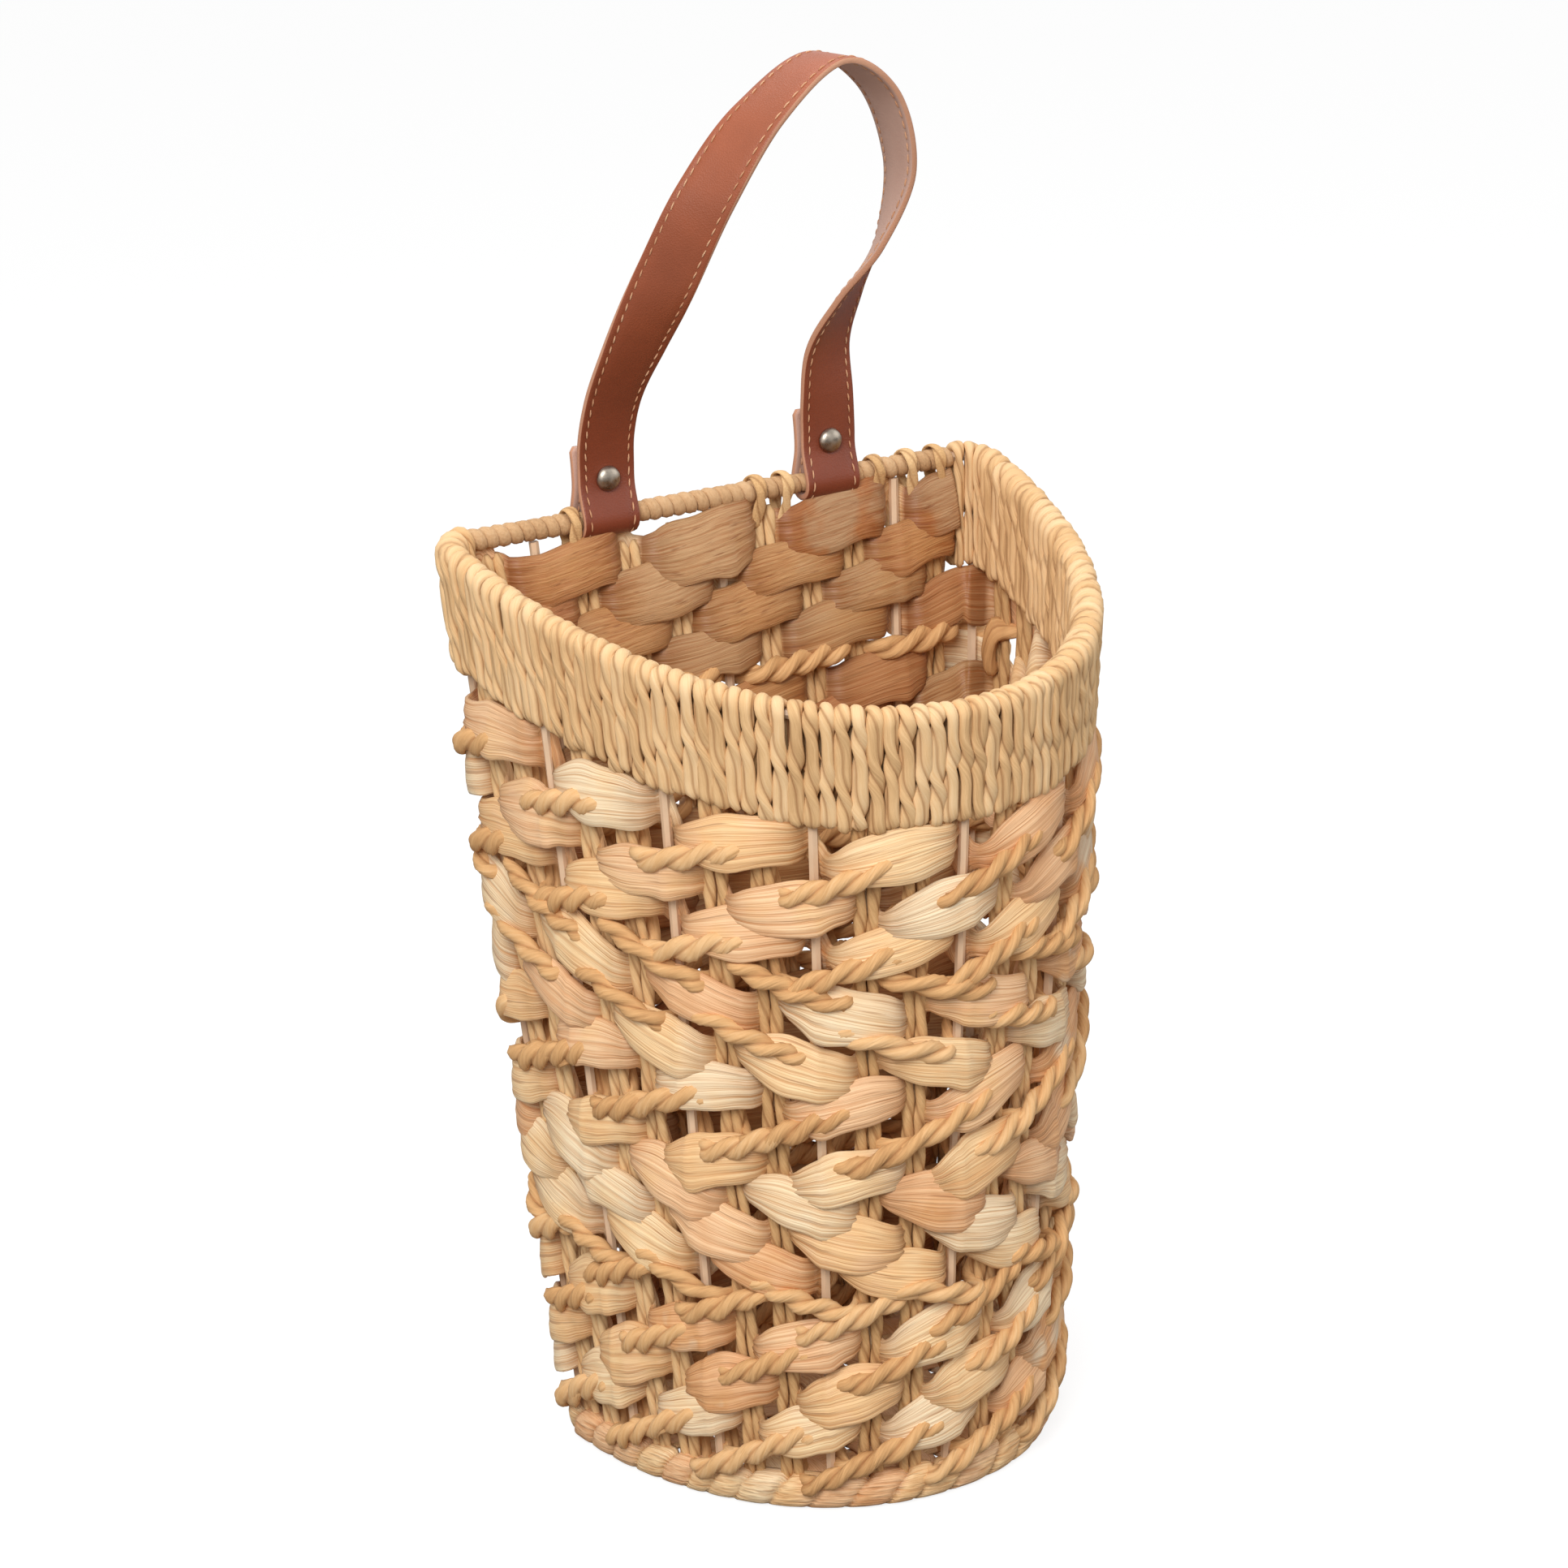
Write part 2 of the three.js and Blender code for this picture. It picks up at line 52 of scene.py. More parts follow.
away_from_basket = Vector((
    math.sin(CAMERA_TURN) * math.cos(CAMERA_RISE),
    -math.cos(CAMERA_TURN) * math.cos(CAMERA_RISE),
    math.sin(CAMERA_RISE),
))
level_right = Vector((math.cos(CAMERA_TURN), math.sin(CAMERA_TURN), 0))
level_up = away_from_basket.cross(level_right)
view_right = level_right * math.cos(CAMERA_ROLL) + level_up * math.sin(CAMERA_ROLL)
view_up = level_up * math.cos(CAMERA_ROLL) - level_right * math.sin(CAMERA_ROLL)
camera = bpy.data.objects.new("camera", bpy.data.cameras.new("camera"))
camera.data.lens = LENS_MM
camera.data.sensor_width = SENSOR_MM
place = Matrix((view_right, view_up, away_from_basket)).transposed().to_4x4()
place.translation = LOOKS_AT + away_from_basket * CAMERA_DISTANCE
camera.matrix_world = place
scene.collection.objects.link(camera)
scene.camera = camera


# The studio: a pale floor under a large soft lamp from the upper left, weaker ones from the right and
# from above, and an even pale surround. Mirrors and the camera see the surround as white.
SURROUND_LIGHT = 0.62  # what it gives the basket; 1 is white
FLOOR_HALF = 30  # metres
FLOOR_GREY = 0.62
FLOOR_GLOW, GLOW_SHARE = 1.36, 0.6  # whitens the floor for the camera and leaves it a shadow


def colour(red, green, blue):
    """A colour given from 0 to 255, as a shader takes it."""
    parts = [part / 255 for part in (red, green, blue)]
    return (*[p / 12.92 if p <= 0.04045 else ((p + 0.055) / 1.055) ** 2.4 for p in parts], 1)


def soft_lamp(name, size, power, where, towards):
    lamp = bpy.data.objects.new(name, bpy.data.lights.new(name, "AREA"))
    lamp.data.shape = "DISK"
    lamp.data.size = size
    lamp.data.energy = power
    turned = (Vector(where) - Vector(towards)).to_track_quat("Z", "Y")
    lamp.matrix_world = Matrix.LocRotScale(Vector(where), turned, None)
    scene.collection.objects.link(lamp)


soft_lamp("key_lamp", size=1.3, power=45, where=(-1.35, -1.45, 1.75), towards=(0, 0, 0.28))
soft_lamp("fill_lamp", size=1.6, power=6.5, where=(1.9, -1.1, 1.1), towards=(0, 0, 0.28))
soft_lamp("top_lamp", size=1.2, power=10, where=(0.2, 0.5, 2.1), towards=(0, 0, 0.3))


def wire_up(tree, node_type, inputs=(), **settings):
    """Adds a shader node; inputs maps a socket's name or number to a value or to another's output."""
    node = tree.nodes.new(node_type)
    for key, value in settings.items():
        setattr(node, key, value)
    for key, value in dict(inputs).items():
        if isinstance(value, bpy.types.NodeSocket):
            tree.links.new(value, node.inputs[key])
        else:
            node.inputs[key].default_value = value
    return node


def work_out(tree, operation, *numbers):
    """The result of one of the shader's sums."""
    return wire_up(tree, "ShaderNodeMath", enumerate(numbers), operation=operation).outputs[0]


surround = bpy.data.worlds.new("surround")
scene.world = surround
surround.use_nodes = True
tree = surround.node_tree
tree.nodes.clear()
rays = wire_up(tree, "ShaderNodeLightPath").outputs
seen = work_out(tree, "MAXIMUM", rays["Is Camera Ray"], rays["Is Glossy Ray"])
seen = work_out(tree, "MAXIMUM", seen, rays["Is Transmission Ray"])
dim = wire_up(tree, "ShaderNodeBackground", {"Color": (1, 1, 1, 1), "Strength": SURROUND_LIGHT})
bright = wire_up(tree, "ShaderNodeBackground", {"Color": (1, 1, 1, 1), "Strength": 1.0})
mixed = wire_up(tree, "ShaderNodeMixShader", {0: seen, 1: dim.outputs[0], 2: bright.outputs[0]})
wire_up(tree, "ShaderNodeOutputWorld", {"Surface": mixed.outputs[0]})


def blank_material(name):
    """A new material, and its tree of shader nodes with none in it."""
    material = bpy.data.materials.new(name)
    material.use_nodes = True
    material.node_tree.nodes.clear()
    return material, material.node_tree


def floor_paint():
    material, tree = blank_material("studio_floor")
    rays = wire_up(tree, "ShaderNodeLightPath").outputs
    lit = wire_up(tree, "ShaderNodeBsdfDiffuse", {"Color": (FLOOR_GREY, FLOOR_GREY, FLOOR_GREY, 1)})
    strength = work_out(tree, "MULTIPLY", rays["Is Camera Ray"], FLOOR_GLOW)
    glow = wire_up(tree, "ShaderNodeEmission", {"Color": (1, 1, 1, 1), "Strength": strength})
    dimmed = wire_up(tree, "ShaderNodeMixShader", {0: GLOW_SHARE, 1: lit.outputs[0], 2: glow.outputs[0]})
    wire_up(tree, "ShaderNodeOutputMaterial", {"Surface": dimmed.outputs[0]})
    return material


bm = bmesh.new()
bmesh.ops.create_grid(bm, x_segments=4, y_segments=4, size=FLOOR_HALF)
floor_mesh = bpy.data.meshes.new("studio_floor")
bm.to_mesh(floor_mesh)
bm.free()
studio_floor = bpy.data.objects.new("studio_floor", floor_mesh)
scene.collection.objects.link(studio_floor)
floor_mesh.materials.append(floor_paint())


# The wire frame: bent 4 mm steel, coated a pale pinkish tan. Its solids are right as they are and only
# get their coating. The wall's shape is worked out here, because every strand follows it.
RIM_WIDTH, RIM_DEPTH, CORNER_RADIUS, TAPER = 252, 187, 13, 27  # millimetres
ROUNDNESS = 2.1  # of the rim's front, where 2 makes an ellipse and more is squarer
BAR_HEIGHT, FRONT_DIP, BASE_WIRE_HEIGHT = 382, 45, 6
BACK_RISE = BAR_HEIGHT - BASE_WIRE_HEIGHT
BACK_PLACE = 92.6  # the back bar's place on Y
MM = 0.001
STRAIGHT_HALF = RIM_WIDTH / 2 - CORNER_RADIUS
BACK_WIRE_PLACES = (-85, 0, 85)
FRONT_WIRE_COUNT = 9


def squared_off(wave, power):
    """A sine or cosine made squarer, by a power below 1, with its sign kept."""
    return np.sign(wave) * np.abs(wave) ** power


def rim_outline():
    """The rim from above: along the back from its left end, then round the right corner and the front."""
    bend = np.linspace(0, math.pi / 2, 9)[1:]
    first = math.asin((CORNER_RADIUS / RIM_DEPTH) ** (ROUNDNESS / 2))
    turn = np.linspace(first, math.pi - first, 241)[1:]
    side = RIM_WIDTH / 2
    across = [[-STRAIGHT_HALF, STRAIGHT_HALF], STRAIGHT_HALF + CORNER_RADIUS * np.sin(bend),
              side * squared_off(np.cos(turn), 2 / ROUNDNESS),
              -STRAIGHT_HALF - CORNER_RADIUS * np.cos(bend)]
    forward = [[0, 0], -CORNER_RADIUS + CORNER_RADIUS * np.cos(bend),
               -RIM_DEPTH * np.sin(turn) ** (2 / ROUNDNESS), -CORNER_RADIUS + CORNER_RADIUS * np.sin(bend)]
    return np.concatenate(across), np.concatenate(forward)


rim_x, rim_y = rim_outline()
rim_run = np.concatenate([[0], np.cumsum(np.hypot(np.diff(rim_x), np.diff(rim_y)))])
LAP = rim_run[-1]
CORNER_SHARE = math.pi / 2 * CORNER_RADIUS / LAP
FRONT_START = 2 * STRAIGHT_HALF / LAP + CORNER_SHARE / 2
FRONT_END = 1 - CORNER_SHARE / 2


def rim_point(share):
    run = np.mod(share, 1) * LAP
    return np.interp(run, rim_run, rim_x), np.interp(run, rim_run, rim_y)


def wall_rise(share):
    return BACK_RISE + FRONT_DIP * rim_point(share)[1] / RIM_DEPTH


def on_wall(share, up, out, lift=0):
    """Points of the wall in metres: share of the lap, up from 0 at the base wire to 1 at the rim, then
    millimetres out of the wall and up it."""
    across, forward = rim_point(share)
    rise = wall_rise(share)
    level = up + lift / rise
    inset = TAPER * (1 - level)
    step = 0.002
    ahead, behind = rim_point(share + step), rim_point(share - step)
    along_x, along_y = ahead[0] - behind[0], ahead[1] - behind[1]
    length = np.hypot(along_x, along_y)
    x = across * (1 - 2 * inset / RIM_WIDTH) - along_y / length * out
    y = forward * (1 - 2 * inset / RIM_DEPTH) - inset + along_x / length * out + BACK_PLACE
    return np.stack([x, y, BASE_WIRE_HEIGHT + rise * level], axis=-1) * MM


wire_shares = [(place + STRAIGHT_HALF) / LAP for place in BACK_WIRE_PLACES]
wire_shares += list(np.linspace(FRONT_START, FRONT_END, FRONT_WIRE_COUNT))


def noise(tree, vector, scale, detail, roughness=0.5, distortion=0.0):
    texture = wire_up(tree, "ShaderNodeTexNoise", {"Vector": vector, "Scale": scale, "Detail": detail,
                                                   "Roughness": roughness, "Distortion": distortion})
    return texture.outputs["Fac"]


def mix_colours(tree, share, first, second, blend="MIX"):
    """The first colour, going over to the second by the given share."""
    mix = wire_up(tree, "ShaderNodeMix", {0: share, 6: first, 7: second}, data_type="RGBA", blend_type=blend)
    return mix.outputs[2]


def finish_surface(tree, tint, roughness, relief, strength, depth, others=()):
    """Ends a material: its tint and roughness, a fine relief of the given depth in metres, and what
    else its surface needs."""
    dents = wire_up(tree, "ShaderNodeBump", {"Height": relief, "Strength": strength, "Distance": depth})
    inputs = {"Base Color": tint, "Roughness": roughness, "Normal": dents.outputs[0], **dict(others)}
    skin = wire_up(tree, "ShaderNodeBsdfPrincipled", inputs)
    wire_up(tree, "ShaderNodeOutputMaterial", {"Surface": skin.outputs[0]})


def coating_material():
    material, tree = blank_material("wire_coating")
    spot = wire_up(tree, "ShaderNodeTexCoord").outputs
    mottle = noise(tree, spot["Object"], 90, 4)
    tint = mix_colours(tree, mottle, colour(214, 178, 142), colour(238, 208, 176))
    finish_surface(tree, tint, 0.42, mottle, 0.25, 0.0004)
    return material


coating = coating_material()
for name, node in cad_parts.items():
    if "wire" in name:
        node.data.materials.clear()
        node.data.materials.append(coating)


# The cord stakes: pairs of lightly twisted paper cord between the wires, 24 pairs, which the weave
# passes as it passes the wires. They stand in the base's binding and reach up to the bar and the band.
PAIRS_AFTER_WIRE = (3, 3, 1, 2, 2, 2, 2, 2, 2, 2, 2, 1)  # from the back's left wire on, round the lap
STAKE_CORD, STAKE_CORD_WIDTH = 4.4, 5.6
STAKE_TWIST = 34  # length of one turn of its two plies
STAKE_SWAY = 0.25
STAKE_FOOT, STAKE_TOP_AT_BACK = 0.012, 0.982  # shares of the wall's height
RIM_ROOM = 4.5 / BACK_RISE  # how far below the rim the front's stakes end
FIRST_FRONT_STAKE, LAST_FRONT_STAKE = 10, 34  # the corners' wires
LOOP_PLACE, LOOP_HALF = 52, 19  # the strap's loops on the bar, and how much room they take either way
LOOP_ROOM = 0.012  # how much lower a stake ends under a loop


def wrap_grid(name, body, material, along, around, shape, copies=1, joined_ends=False):
    """Wraps a grid into strands. shape(u, v, copy) gives its points in metres, and values to keep."""
    bm = bmesh.new()
    bm.loops.layers.uv.new("UVMap")
    which = bm.verts.layers.float.new("copy")
    first = bmesh.ops.create_grid(bm, x_segments=along, y_segments=around, size=0.5, calc_uvs=True)
    made = first["verts"] + list(bm.edges) + list(bm.faces)
    for copy in range(1, copies):
        more = bmesh.ops.duplicate(bm, geom=made)["geom"]
        for part in more:
            if isinstance(part, bmesh.types.BMVert):
                part[which] = copy
    mesh = bpy.data.meshes.new(name)
    bm.to_mesh(mesh)
    bm.free()
    flat = np.empty(len(mesh.vertices) * 3, np.float32)
    mesh.vertices.foreach_get("co", flat)
    flat = flat.reshape(-1, 3).astype(float)
    number = np.empty(len(mesh.vertices), np.float32)
    mesh.attributes["copy"].data.foreach_get("value", number)
    points, values = shape(flat[:, 0] + 0.5, flat[:, 1] + 0.5, np.rint(number).astype(int))
    mesh.vertices.foreach_set("co", points.astype(np.float32).ravel())
    for key, value in values.items():
        layer = mesh.attributes.new(key, "FLOAT", "POINT")
        layer.data.foreach_set("value", np.asarray(value, np.float32))
    bm = bmesh.new()
    bm.from_mesh(mesh)
    bmesh.ops.remove_doubles(bm, verts=bm.verts, dist=2e-6)
    if not joined_ends:
        bmesh.ops.holes_fill(bm, edges=[edge for edge in bm.edges if edge.is_boundary])
    bmesh.ops.recalc_face_normals(bm, faces=bm.faces)
    for face in bm.faces:
        face.smooth = True
    bm.to_mesh(mesh)
    bm.free()
    mesh.materials.append(material)
    piece = bpy.data.objects.new(name, mesh)
    scene.collection.objects.link(piece)
    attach(piece, body)
    return piece


def two_ply(v, twist, depth=1.0):
    """Section of a cord of two plies that touch, 1 at its widest, turned by twist, and the groove between the
    plies as 1 at its bottom, where the cord materials paint shade."""
    turn = 2 * math.pi * v
    centre, ply = 0.45 * depth, 1 - 0.45 * depth
    reach = centre * np.abs(np.cos(turn)) + np.sqrt(ply ** 2 - (centre * np.sin(turn)) ** 2)
    return reach * np.cos(turn + twist), reach * np.sin(turn + twist), np.abs(np.sin(turn)) ** 30


def fade(ends, u):
    """0 at a strand's two ends and 1 between, over the given share of its length."""
    near = np.clip(np.minimum(u, 1 - u) / ends, 0, 1)
    return np.sqrt(1 - (1 - near) ** 2)


stake_share, stake_is_wire = [], []
for i, pairs in enumerate(PAIRS_AFTER_WIRE):
    start = wire_shares[i]
    end = wire_shares[i + 1] if i + 1 < len(wire_shares) else wire_shares[0] + 1
    stake_share += [start + (end - start) * j / (pairs + 1) for j in range(pairs + 1)]
    stake_is_wire += [True] + [False] * pairs
STAKES = len(stake_share)
stake_share.append(stake_share[0] + 1)
stake_share = np.array(stake_share)
stake_is_wire = np.array(stake_is_wire)
pair_places = [k for k in range(STAKES) if not stake_is_wire[k]]


def stake_cords(u, v, copy):
    stake = np.array(pair_places)[copy // 2]
    share = stake_share[stake]
    at_back = (stake < FIRST_FRONT_STAKE) | (stake > LAST_FRONT_STAKE)
    side = np.where(copy % 2 == 0, -1, 1)
    under_loop = at_back & (np.abs(np.abs(rim_point(share)[0]) - LOOP_PLACE) < LOOP_HALF)
    top = np.where(at_back, STAKE_TOP_AT_BACK, 1 - RIM_ROOM) - LOOP_ROOM * under_loop
    up = STAKE_FOOT + (top - STAKE_FOOT) * u
    length = wall_rise(share) * (top - STAKE_FOOT)
    twist = copy * 1.3 - 2 * math.pi * u * length / STAKE_TWIST
    thick = STAKE_CORD / 2 * (0.35 + 0.65 * fade(0.01, u))
    a, b, groove = two_ply(v, twist, 0.55)
    sway = STAKE_SWAY * np.sin(u * 31 + copy * 2.1)
    width = (side * (STAKE_CORD_WIDTH / 2 - 0.1) + sway + a * thick * STAKE_CORD_WIDTH / STAKE_CORD) / LAP
    spread = 1 + 2 * TAPER * (1 - up) / RIM_WIDTH
    points = on_wall(share + width * spread, up, b * thick)
    return points, {"tone": np.sin(copy * 12.9) * 0.5 + 0.5, "groove": groove}


def strand_value(tree, name):
    """One of the values that a strand's points keep."""
    return wire_up(tree, "ShaderNodeAttribute", attribute_name=name).outputs["Fac"]


def stretched(tree, vector, scale):
    return wire_up(tree, "ShaderNodeMapping", {"Vector": vector, "Scale": scale}).outputs[0]


def colour_ramp(tree, share, stops):
    """The colour at a share of the way through stops, each a place and its colour."""
    ramp = wire_up(tree, "ShaderNodeValToRGB", {"Fac": share})
    elements = ramp.color_ramp.elements
    for element, (place, shade) in zip(elements, (stops[0], stops[-1])):
        element.position = place
        element.color = shade
    for place, shade in stops[1:-1]:
        elements.new(place).color = shade
    return ramp.outputs[0]


def paper_cord_material(name, dark, middle, pale, fibres):
    """Twisted paper or plant cord: fine lines along each ply, patches of tone, painted shade in the groove
    between the plies, a soft dry surface.
    """
    material, tree = blank_material(name)
    spot = wire_up(tree, "ShaderNodeTexCoord").outputs
    lines = noise(tree, stretched(tree, spot["UV"], fibres), 1, 5, roughness=0.65)
    patch = noise(tree, spot["Object"], 55, 3)
    shade = work_out(tree, "MULTIPLY_ADD", lines, 2.0, strand_value(tree, "tone"))
    shade = work_out(tree, "MULTIPLY_ADD", patch, 0.6, shade)
    shade = work_out(tree, "DIVIDE", shade, 3.6)
    tint = colour_ramp(tree, shade, [(0.22, dark), (0.5, middle), (0.82, pale)])
    # Painted shade: the groove between the plies is darkened towards a brown.
    depth = work_out(tree, "MULTIPLY", strand_value(tree, "groove"), 0.55)
    tint = mix_colours(tree, depth, tint, colour(164, 120, 78), "MULTIPLY")
    finish_surface(tree, tint, 0.72, lines, 0.9, 0.0006, {"Specular IOR Level": 0.3})
    return material


stake_paper = paper_cord_material("stake_paper", colour(186, 140, 88), colour(226, 182, 128),
                                  colour(244, 210, 160), (60, 14, 1))
stakes = wrap_grid("cord_stakes", "basket", stake_paper, along=130, around=12, shape=stake_cords,
                   copies=2 * len(pair_places))


# The weave: 24 courses round the basket and three rows more on its back, each over two stakes and
# behind one, a stake further on in each course, so that slanting ribs climb to the right for a few
# courses and then to the left. On the back the long floats lie inside.
COURSE_KINDS = "CCHHCHCCHHHHCCHHCHCCHHCH"  # from the base up: C cord, H hyacinth
BACK_ROW_KINDS = "HHH"
COURSE_SHARE = {"H": 14.5, "C": 8.5}  # height of a course of each kind, before they share the wall
FRONT_RISE = BACK_RISE - FRONT_DIP
BINDING_HEIGHT, BAND_DEPTH = 15, 44  # the base rim's height, and how far the band comes down
ROW_DROP = 10.5  # from the bar's middle down to the top row
WEAVE_REACH = 7  # how far the weave stands out from the middle of the wires
CLEAR = 0.3  # between pieces that touch
WEAVE_LOW = (BINDING_HEIGHT - BASE_WIRE_HEIGHT + CLEAR) / FRONT_RISE
WEAVE_HIGH = (FRONT_RISE - BAND_DEPTH - WEAVE_REACH * FRONT_DIP / RIM_DEPTH - CLEAR) / FRONT_RISE
ROWS_HIGH = (BACK_RISE - ROW_DROP) / BACK_RISE
RIB_LEGS = (7, 4, 4, 4, 8)  # courses and rows that climb one way, from the base up, to the right first
END_HEIGHTS = {  # a float's left tip and its right end, in millimetres up, on ribs that climb right and left
    "H": {1: (-6.2, 4.5), -1: (5, -3.8)},
    "C": {1: (-8.6, 8.6), -1: (5.6, -5.6)},
}
BACK_LEAN = {"H": 0.6, "C": 0.2}  # how much of this the back's floats keep
BEHIND, BEHIND_AT_BACK = 0.27, 0.3  # how far a strand stays behind a stake, either way, in stakes
LONG_FLOAT = 1.2  # in stakes; a longer float passes over two
rib_ways = np.repeat([1 if leg % 2 == 0 else -1 for leg in range(len(RIB_LEGS))], RIB_LEGS)
rib_steps = np.cumsum(rib_ways)


def stake_distance(stake, vertex):
    return np.abs(np.mod(stake - vertex + STAKES / 2, STAKES) - STAKES / 2)


def course_floats(number):
    """Where a course passes through the wall, which side it is on after each place, and how high it is
    there. Seen by the photographer, stakes run to the left on the front and to the right on the back."""
    stake = np.arange(STAKES)
    front = (stake >= FIRST_FRONT_STAKE) & (stake <= LAST_FRONT_STAKE)
    face = np.where(front, 1, -1)
    to_right = np.where(front, -stake, stake - STAKES * (stake > LAST_FRONT_STAKE))
    side = np.where(np.mod(to_right - rib_steps[number], 3) == 0, -face, face)
    kind = (COURSE_KINDS + BACK_ROW_KINDS)[number]
    left_tip, right_end = END_HEIGHTS[kind][rib_ways[number]]
    places, sides, heights, blunt = [], [], [], []
    for k in range(STAKES):
        after = (k + 1) % STAKES
        if side[k] != side[after]:
            behind = BEHIND if front[k] else BEHIND_AT_BACK
            hidden = behind if side[k] != face[k] else 1 - behind
            places.append(k + (hidden if face[k] == face[after] else 0.5))
            sides.append(side[after])
            at_right = (side[after] == face[after]) == front[after]
            heights.append((right_end if at_right else left_tip) * (1 if front[k] else BACK_LEAN[kind]))
            blunt.append(1.0 if at_right else 0.0)
    return np.array(places), np.array(sides), np.array(heights), np.array(blunt)


def float_at(number, stake):
    """The float of a course at each stake position: its number and the next one's, the share passed of
    it, its side, the distance to its nearer end, how high and how blunt it is there, and whether it is
    a long one."""
    stake = np.mod(stake, STAKES)
    places, sides, heights, blunt = course_floats(number)
    found = np.searchsorted(places, stake, side="right") - 1
    index = np.mod(found, len(places))
    after = np.mod(found + 1, len(places))
    start = places[index] - STAKES * (found < 0)
    end = places[after] + STAKES * (found + 1 == len(places))
    passed = np.clip((stake - start) / (end - start), 0, 1)
    long = end - start > LONG_FLOAT
    tucked = 0.5 - 0.5 * np.cos(math.pi * np.clip((passed - 0.2) / 0.6, 0, 1))
    climbed = 0.5 * passed + 0.25 * (1 - np.cos(math.pi * passed))
    height = heights[index] + (heights[after] - heights[index]) * np.where(long, climbed, tucked)
    return SimpleNamespace(index=index, after=after, passed=passed, side=sides[index],
                           near=np.minimum(stake - start, end - stake), height=height,
                           blunt=blunt[index] + (blunt[after] - blunt[index]) * passed,
                           long=long, hump=np.sin(math.pi * passed))


def share_at(stake):
    return np.interp(np.mod(stake, STAKES), np.arange(STAKES + 1), stake_share)


def near_a_wire(stake, reach, power=1):
    """1 at each wire, less beside it."""
    distance = [stake_distance(np.mod(stake, STAKES), k) for k in np.flatnonzero(stake_is_wire)]
    return np.exp(-(np.min(distance, axis=0) / reach) ** power)


def on_the_back(stake):
    """1 on the back and round its corners, 0 round the front."""
    place = np.mod(stake + 5, STAKES) - 5  # below 0 before the back's left wire
    return np.clip(1.2 + np.minimum(place + STAKES - LAST_FRONT_STAKE, FIRST_FRONT_STAKE - place), 0, 1)


def swing_out(near, side, reach):
    """Millimetres out of the wall: 0 where a strand passes through it, its full reach at a stake."""
    return side * reach * np.sin(math.pi / 2 * np.clip(near / BEHIND, 0, 1)) ** 0.9


def across_path(path, stake, up, across, deep, lean):
    """Section points set square to a strand's path. path(stake) gives its place out of the wall and up
    it; across and deep are the section's millimetres up the wall and out of it, and lean is how much of
    the path's climb the section follows."""
    step = 0.03
    out, lift = path(stake)
    (out_a, lift_a), (out_b, lift_b) = path(stake - step), path(stake + step)
    share = share_at(stake)
    scale = LAP * (1 - 2 * TAPER * (1 - up) / RIM_WIDTH)
    run = 2 * step * scale / STAKES
    slope_out = (out_b - out_a) / run
    slope_lift = lean * np.clip((lift_b - lift_a) / run, -0.5, 0.5)
    length = np.sqrt(1 + slope_out ** 2 + slope_lift ** 2)
    ax, ay, az = 1 / length, slope_out / length, slope_lift / length
    level = np.sqrt(1 - az ** 2)
    wx, wy, wz = -ax * az / level, -ay * az / level, level
    dx, dy, dz = wy * az - wz * ay, wz * ax - wx * az, wx * ay - wy * ax
    return on_wall(share + (across * wx + deep * dx) / scale, up, out + across * wy + deep * dy,
                   lift + across * wz + deep * dz)


def course_heights(kinds, low, high):
    """The middle of each course, as a share of the wall's height, from the lowest up."""
    total = sum(COURSE_SHARE[kind] for kind in kinds)
    edges = low + (high - low) * np.concatenate([[0], np.cumsum([COURSE_SHARE[k] for k in kinds])]) / total
    return (edges[:-1] + edges[1:]) / 2


# The hyacinth strands: dried flat leaf stems, about 21 mm wide where they lie on the wall and drawn
# together where they tuck behind it, with fine lengthwise pleats. Each is woven once round the stakes.
HYACINTH_WIDTH, HYACINTH_THICKNESS = 21, 4.4
TIP_WIDTH, BLUNT_WIDTH = 5.5, 4  # at a float's tip, and what a blunt end adds
BACK_TIP, BACK_MIDDLE = 10, -1  # what a float on the back has more, at its ends and at its middle
CORNER_FILL = 2.4  # how far a leaning float spreads into the corner that its lean leaves open
WIRE_POINT = 1.4  # how far its lower edge is pushed down over a wire
WIRE_RADIUS = 2
FLOAT_STRAY = 2.8  # how far a float's middle strays up or down, both ways together
HYACINTH_STEPS, HYACINTH_AROUND = 15, 34  # mesh steps from stake to stake, and round the strand


